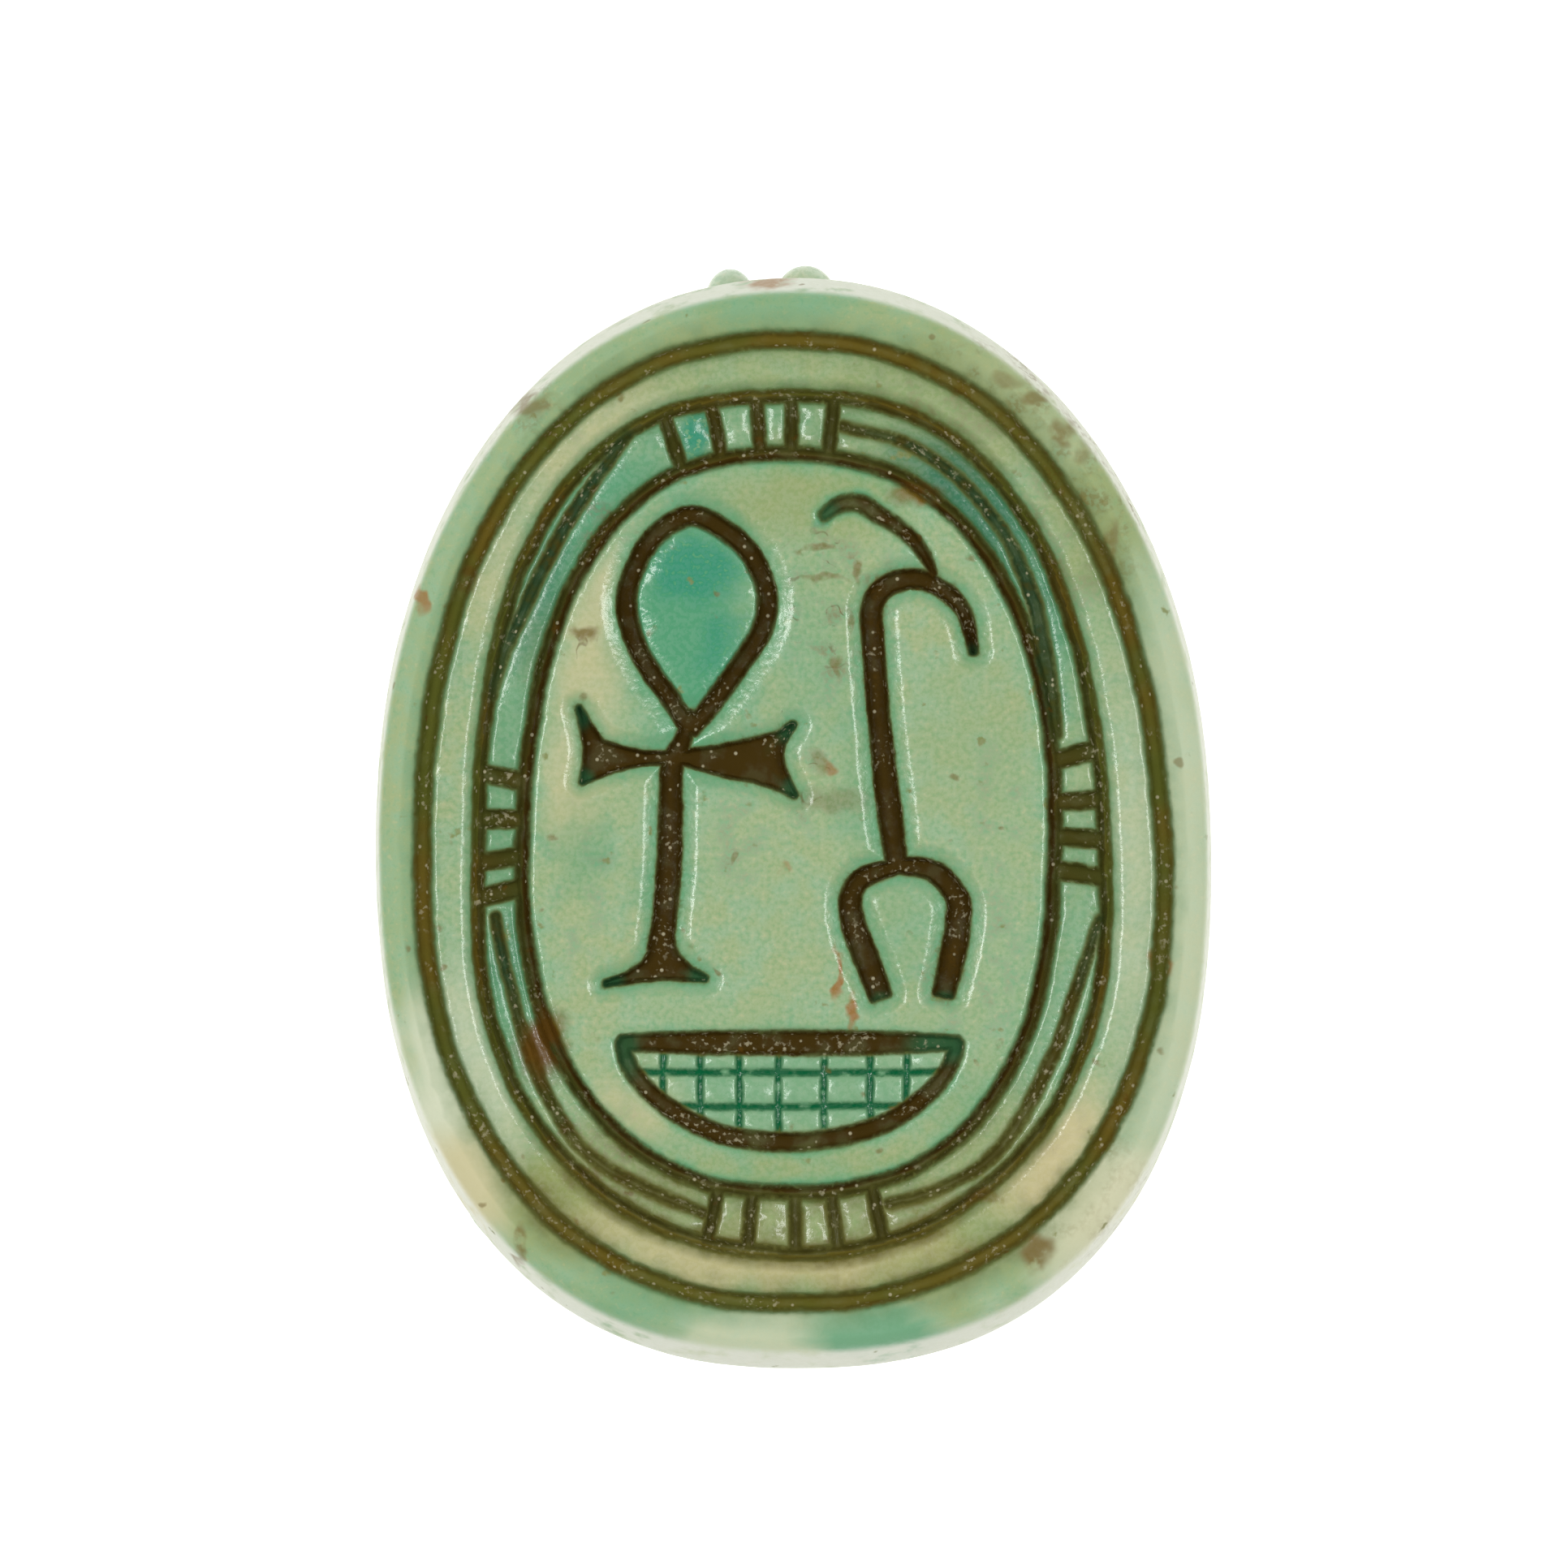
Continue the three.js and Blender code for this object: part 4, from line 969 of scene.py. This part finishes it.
def brown_stains(tree, noises, strayed, facing):
    """How strongly each place is stained brown: spots, haze and grit."""
    fine = noises["fine"]
    spots = times(tree, patches(tree, strayed, BROWN_SPOTS, 0.4), stretch(tree, fine, 0.28, 0.48))
    haze = times(tree, stored(tree, "haze"), stretch(tree, fine, 0.45, 0.68),
                 stretch(tree, noises["specks"], 0.35, 0.6))
    grit = add(tree, "ShaderNodeTexVoronoi", {"Vector": strayed, "Scale": 1.6}).outputs["Distance"]
    grit = times(tree, stretch(tree, grit, 0.14, 0.06, 0.6), stretch(tree, fine, 0.42, 0.55))
    return times(tree, most(tree, spots, haze, grit), facing)


def set_shine(tree, surface, specks, dirt, weave):
    """Glossy glaze, duller where it is dirty or rubbed, with a fine ripple."""
    edge = stored(tree, "edge")
    rough = maths(tree, "ADD", 0.2, stretch(tree, specks, 0.4, 0.6, 0.22))
    rough = maths(tree, "ADD", rough, times(tree, edge, 0.35))
    shine = less(tree, 0.5, times(tree, most(tree, dirt, weave), 0.46))
    coat = times(tree, less(tree, 1.0, edge), stretch(tree, specks, 0.42, 0.56), stretch(tree, dirt, 0.5, 0.05, 0.75))
    ripple = add(tree, "ShaderNodeBump", {"Strength": 0.4, "Distance": 0.02 * MM, "Height": specks}).outputs[0]
    for key, value in (("Roughness", maths(tree, "ADD", rough, times(tree, dirt, 0.2))),
                       ("Specular IOR Level", most(tree, shine, 0.02)), ("Coat Weight", coat),
                       ("Normal", ripple), ("Coat Normal", ripple)):
        tree.links.new(value, surface.inputs[key])
    surface.inputs["Coat Roughness"].default_value = 0.18


# The glaze's noises: scale per millimetre and detail.
NOISES = {"broad": (0.5, 3.0), "fine": (2.6, 6.0), "specks": (12.0, 3.0), "marks": (1.7, 2.0)}


def glaze_material(colours):
    """Green glaze that pools in the cuts, worn to buff in places, with old dirt in the grooves."""
    material = bpy.data.materials.new("green_glaze")
    material.use_nodes = True
    tree = material.node_tree
    tree.nodes.clear()
    surface = add(tree, "ShaderNodeBsdfPrincipled")
    add(tree, "ShaderNodeOutputMaterial", {"Surface": surface.outputs[0]})
    spot = add(tree, "ShaderNodeTexCoord").outputs["Object"]
    place = vector(tree, "MULTIPLY_ADD", spot, (1 / MM, 1 / MM, 1 / MM), (0.0, LENGTH_MIDDLE, 0.0))
    height = add(tree, "ShaderNodeSeparateXYZ", (place,)).outputs[2]
    noises = {name: noise(tree, place, *numbers) for name, numbers in NOISES.items()}
    fine, specks, cord = noises["fine"], noises["specks"], stored(tree, "cord")
    dirt = times(tree, stored(tree, "dirt"), maths(tree, "ADD", 0.86, stretch(tree, fine, 0.35, 0.65, 0.3)),
                 maths(tree, "MULTIPLY_ADD", stored(tree, "olive"), -0.2, 1.0))
    heights = (height, maths(tree, "ADD", height, stored(tree, "cut")))
    strayed = wander(tree, place, *SPOT_STRAY)
    facing = stretch(tree, height, *SPOT_EDGE)
    on_ring = most(tree, cord, stored(tree, "border"))
    weave = times(tree, stored(tree, "weave"), stretch(tree, fine, 0.25, 0.42))

    teal = times(tree, patches(tree, strayed, TEAL_SPOTS), stretch(tree, specks, 0.3, 0.5, 1.0))
    tone = blend(tree, teal, glaze_colour(tree, colours, noises), colours.teal)
    tone = pooled_colour(tree, colours, noises, tone, heights, on_ring, weave)
    rust = times(tree, patches(tree, strayed, RUST_SPOTS), stretch(tree, fine, 0.3, 0.5), facing)
    tone = blend(tree, rust, tone, colours.rust)
    tone = blend(tree, stretch(tree, fine, 0.67, 0.74, 0.8), tone, colours.olive_pool)
    vein = maths(tree, "ABSOLUTE", less(tree, noises["marks"], 0.5))
    vein = times(tree, stretch(tree, vein, 0.02, 0.003), stretch(tree, fine, 0.5, 0.6, 0.7), stored(tree, "cracked"))
    tone = blend(tree, vein, tone, colours.smudge)

    soil = soil_colour(tree, colours, noises, place, on_ring)
    # Darker up the walls of the cuts towards their floors: thin dirt and painted shade.
    tone = blend(tree, stretch(tree, dirt, 0.0, 0.62, 0.8), tone, colours.wall_dirt_and_shade)
    tone = blend(tree, stretch(tree, dirt, 0.28, 1.0), tone, soil)
    tone = blend(tree, times(tree, stored(tree, "groove"), 0.8), tone, soil)
    bare = less(tree, stretch(tree, dirt, 0.7, 0.2), cord)
    stain = blend(tree, bare, colours.smudge, colours.stain)
    tone = blend(tree, brown_stains(tree, noises, strayed, facing), tone, stain)
    tree.links.new(tone, surface.inputs["Base Color"])
    set_shine(tree, surface, specks, dirt, weave)
    return material


# ---------------------------------------------------------------- settings
class SCARAB_PG_sizes(bpy.types.PropertyGroup):
    height: bpy.props.FloatProperty(
        name="Height", description="Seal face to the rest spot on the back",
        default=CAD_BOX[1][2] - CAD_BOX[0][2], unit="LENGTH", precision=5)
    around: bpy.props.IntProperty(name="Around", description="Points round the body", default=1200)
    face_rows: bpy.props.IntProperty(name="Face rows", description="Rows across the seal face", default=230)
    side_rows: bpy.props.IntProperty(name="Side rows", description="Rows down the side", default=60)
    back_rows: bpy.props.IntProperty(name="Back rows", description="Rows over the back", default=110)
    most_triangles: bpy.props.IntProperty(
        name="Most triangles", description="Triangles left in the body before the head and hole", default=172000)
    lip: bpy.props.FloatProperty(
        name="Lip", description="Rounding of the cuts' edges", default=0.03 * MM, unit="LENGTH", precision=6)


def colour(name, description, shade):
    """A colour setting from plain red, green and blue of 0 to 255."""
    linear = tuple(((c / 255 + 0.055) / 1.055) ** 2.4 if c > 10 else c / 255 / 12.92 for c in shade)
    return bpy.props.FloatVectorProperty(name=name, description=description, subtype="COLOR", size=3,
                                         default=linear, min=0, max=1)


class SCARAB_PG_colours(bpy.types.PropertyGroup):
    sage: colour("Sage", "Glaze over the flat field", (150, 178, 130))
    olive: colour("Olive", "Glaze where it has yellowed", (160, 178, 126))
    mint: colour("Mint", "Glaze where it is clean", (146, 182, 142))
    # Partly rubbed glaze, partly a painted sheen on the rim.
    pale: colour("Pale", "Glaze rubbed pale on the border", (212, 218, 188))
    deep_olive: colour("Deep olive", "Yellowed glaze near the head", (148, 158, 90))
    buff: colour("Buff", "Stone where the glaze has worn thin", (208, 196, 146))
    # Partly wear, partly a painted sheen on the edges and sides.
    wear_and_sheen: colour("Worn", "Whitish wear on the edges and sides", (222, 224, 208))
    turquoise: colour("Turquoise", "Glaze where it is thick", (78, 156, 112))
    sea: colour("Sea green", "Glaze on the cord", (82, 156, 114))
    teal: colour("Teal", "Glaze at its thickest", (2, 140, 106))
    weave: colour("Weave", "Glaze in the weave's lines", (8, 96, 56))
    pool: colour("Pool", "Glaze run down the walls of the cuts", (92, 164, 116))
    olive_pool: colour("Olive pool", "Glaze in the cuts where it has yellowed", (124, 130, 66))
    smudge: colour("Smudge", "Brown stains", (98, 70, 22))
    stain: colour("Stain", "Brown stains on the flats", (114, 92, 22))
    rust: colour("Rust", "Rusty specks", (152, 102, 36))
    # Painted shade beside the cuts, plain and where the glaze has yellowed.
    halo: colour("Halo", "Darker glaze beside the cuts", (88, 132, 78))
    olive_shade_halo: colour("Olive halo", "Browner glaze beside the cuts", (108, 100, 40))
    # Thin dirt and painted shade on the walls of the cuts.
    wall_dirt_and_shade: colour("Half dirt", "Thin dirt on the walls of the cuts", (108, 108, 52))
    dirt: colour("Dirt", "Old dirt on the floors of the cuts", (108, 92, 32))
    dark_green: colour("Dark green", "Greener dirt", (94, 98, 38))
    emblem_dirt: colour("Emblem dirt", "Brown dirt in the emblems", (66, 50, 14))
    cord_dirt: colour("Cord dirt", "Dirt round the cord's bindings", (56, 56, 22))
    strand_dirt: colour("Strand dirt", "Dark glaze between the cord's strands", (32, 66, 40))
    deep_sea: colour("Deep sea green", "Darkest glaze on the cord", (42, 114, 84))
    tip: colour("Tips", "Dark glaze at the thin ends of the cuts", (40, 104, 66))
    olive_dirt: colour("Olive dirt", "Dirt where the glaze has yellowed", (104, 94, 34))
    # Pale dust and fluff, and dots painted as glints.
    dust_and_glints: colour("Dust", "Pale dust in the cuts", (196, 188, 156))


# ---------------------------------------------------------------- operators
class SCARAB_OT_seal(bpy.types.Operator):
    """Carve, thin out and glaze the whole scarab"""

    bl_idname = "scarab.seal"
    bl_label = "Carve Scarab"

    def execute(self, context):
        sizes, colours = context.scene.scarab_sizes, context.scene.scarab_colours
        height = sizes.height / MM
        piece = build_blank(sizes)
        glaze = glaze_material(colours)
        values = {"Height": height, "Lip": sizes.lip / MM, "Material": glaze}
        floors = []
        for family, (lay_out, depth, wall, slope_depth, slope_wall, dirt, dirt_reach) in FAMILIES.items():
            floors.append(lay_out(height))
            values.update({family: floors[-1], family + " Depth": depth, family + " Wall": wall,
                           family + " Slope Depth": slope_depth, family + " Slope Wall": slope_wall,
                           family + " Dirt": dirt, family + " Dirt Reach": dirt_reach})
        floors.append(ring_patch(INNER_RING)(height))
        values["Field"] = floors[-1]
        run_tree(piece, engraving_tree(), values)
        floors += [leg_lines(height), back_lines(height)]
        values = {"Legs": floors[-2], "Lines": floors[-1], "Material": glaze}
        run_tree(piece, beetle_tree(), values)
        for floor in floors:
            bpy.data.objects.remove(floor)
        thin_out(piece, sizes.most_triangles)
        for each in head_lumps(height):
            combine(piece, each, "UNION")
        combine(piece, bore_cutter(height), "DIFFERENCE")
        run_tree(piece, stain_tree(), {"Material": glaze})
        finish_piece(piece, glaze)
        return {"FINISHED"}


def thin_out(piece, most_triangles):
    """Takes out the triangles that the shape needs least."""
    triangles = sum(len(face.vertices) - 2 for face in piece.data.polygons)
    thin = piece.modifiers.new("thin", "DECIMATE")
    thin.ratio = min(1.0, most_triangles / triangles)
    settle(piece, thin)


def finish_piece(piece, glaze):
    mesh = piece.data
    mesh.materials.clear()
    mesh.materials.append(glaze)
    points = np.empty(len(mesh.vertices) * 3)
    mesh.vertices.foreach_get("co", points)
    points = points.reshape(-1, 3) - (0, LENGTH_MIDDLE, 0)
    mesh.vertices.foreach_set("co", (points * MM).ravel())
    mesh.update()
    for polygon in mesh.polygons:
        polygon.use_smooth = True
        polygon.material_index = 0
    piece.name = "glazed_scarab"
    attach(piece, "root")
    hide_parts(NODE)


# ---------------------------------------------------------------- stage
FLOOR_REACH = 0.6  # metres each way
FLOOR_PAPER = {"Base Color": (0.9, 0.9, 0.9, 1), "Roughness": 0.9, "Specular IOR Level": 0.0,
               "Emission Color": (1, 1, 1, 1), "Emission Strength": 0.6}
ROOM_LIGHT = 0.45
# Soft boxes: name, place in metres, side in metres, power in watts.
SOFTBOXES = [("left_softbox", (-0.15, 0.03, 0.29), 0.09, 0.36), ("right_softbox", (0.16, 0.02, 0.28), 0.09, 0.28)]
# Camera: width of the view and its middle in millimetres at the seal face, and its height over the face.
VIEW_WIDTH = 24.115
VIEW_MIDDLE = (-0.268, 0.537)
CAMERA_HEIGHT = 0.35
SENSOR = 24


def lay_floor():
    """A plain pale sheet of paper under the scarab."""
    mesh = bpy.data.meshes.new("floor")
    corners = [(x * FLOOR_REACH, y * FLOOR_REACH, 0) for x, y in ((-1, -1), (1, -1), (1, 1), (-1, 1))]
    mesh.from_pydata(corners, [], [(0, 1, 2, 3)])
    paper = bpy.data.materials.new("floor_paper")
    paper.use_nodes = True
    for key, value in FLOOR_PAPER.items():
        paper.node_tree.nodes["Principled BSDF"].inputs[key].default_value = value
    mesh.materials.append(paper)
    put("floor", mesh)


def light_room(scene):
    """An even pale room and two soft boxes that face the scarab."""
    world = bpy.data.worlds.new("soft_room")
    world.use_nodes = True
    room = world.node_tree.nodes["Background"].inputs
    room[0].default_value, room[1].default_value = (1, 1, 1, 1), ROOM_LIGHT
    scene.world = world
    for name, place, size, power in SOFTBOXES:
        light = bpy.data.lights.new(name, "AREA")
        light.energy, light.size = power, size
        lamp = put(name, light)
        lamp.location = place
        lamp.rotation_euler = (-Vector(place)).to_track_quat("-Z", "Y").to_euler()


def set_camera(scene):
    """A camera straight above the seal face."""
    camera = bpy.data.cameras.new("camera")
    camera.sensor_width = SENSOR
    camera.lens = CAMERA_HEIGHT * SENSOR / (VIEW_WIDTH * MM)
    camera.clip_start = 0.01
    eye = put("camera", camera)
    eye.location = (VIEW_MIDDLE[0] * MM, (VIEW_MIDDLE[1] - LENGTH_MIDDLE) * MM, CAD_BOX[1][2] + CAMERA_HEIGHT)
    scene.camera = eye


class SCARAB_OT_stage(bpy.types.Operator):
    """Make the floor, lights and camera"""

    bl_idname = "scarab.stage"
    bl_label = "Set Stage"

    def execute(self, context):
        scene = context.scene
        scene.view_settings.view_transform = "Standard"
        lay_floor()
        light_room(scene)
        set_camera(scene)
        return {"FINISHED"}


class SCARAB_PT_panel(bpy.types.Panel):
    """Lists the scarab's sizes, colours and steps"""

    bl_label = "Scarab Seal"
    bl_idname = "SCARAB_PT_panel"
    bl_space_type = "VIEW_3D"
    bl_region_type = "UI"
    bl_category = "Scarab"

    def draw(self, context):
        for group in (context.scene.scarab_sizes, context.scene.scarab_colours):
            for key in group.__annotations__:
                self.layout.prop(group, key)
        for operator in (SCARAB_OT_seal, SCARAB_OT_stage):
            self.layout.operator(operator.bl_idname)


CLASSES = (SCARAB_PG_sizes, SCARAB_PG_colours, SCARAB_OT_seal, SCARAB_OT_stage, SCARAB_PT_panel)


def register():
    for each in CLASSES:
        bpy.utils.register_class(each)
    bpy.types.Scene.scarab_sizes = bpy.props.PointerProperty(type=SCARAB_PG_sizes)
    bpy.types.Scene.scarab_colours = bpy.props.PointerProperty(type=SCARAB_PG_colours)


def unregister():
    del bpy.types.Scene.scarab_colours
    del bpy.types.Scene.scarab_sizes
    for each in reversed(CLASSES):
        bpy.utils.unregister_class(each)


def main():
    register()
    bpy.ops.scarab.seal()
    bpy.ops.scarab.stage()


if __name__ == "__main__":
    main()
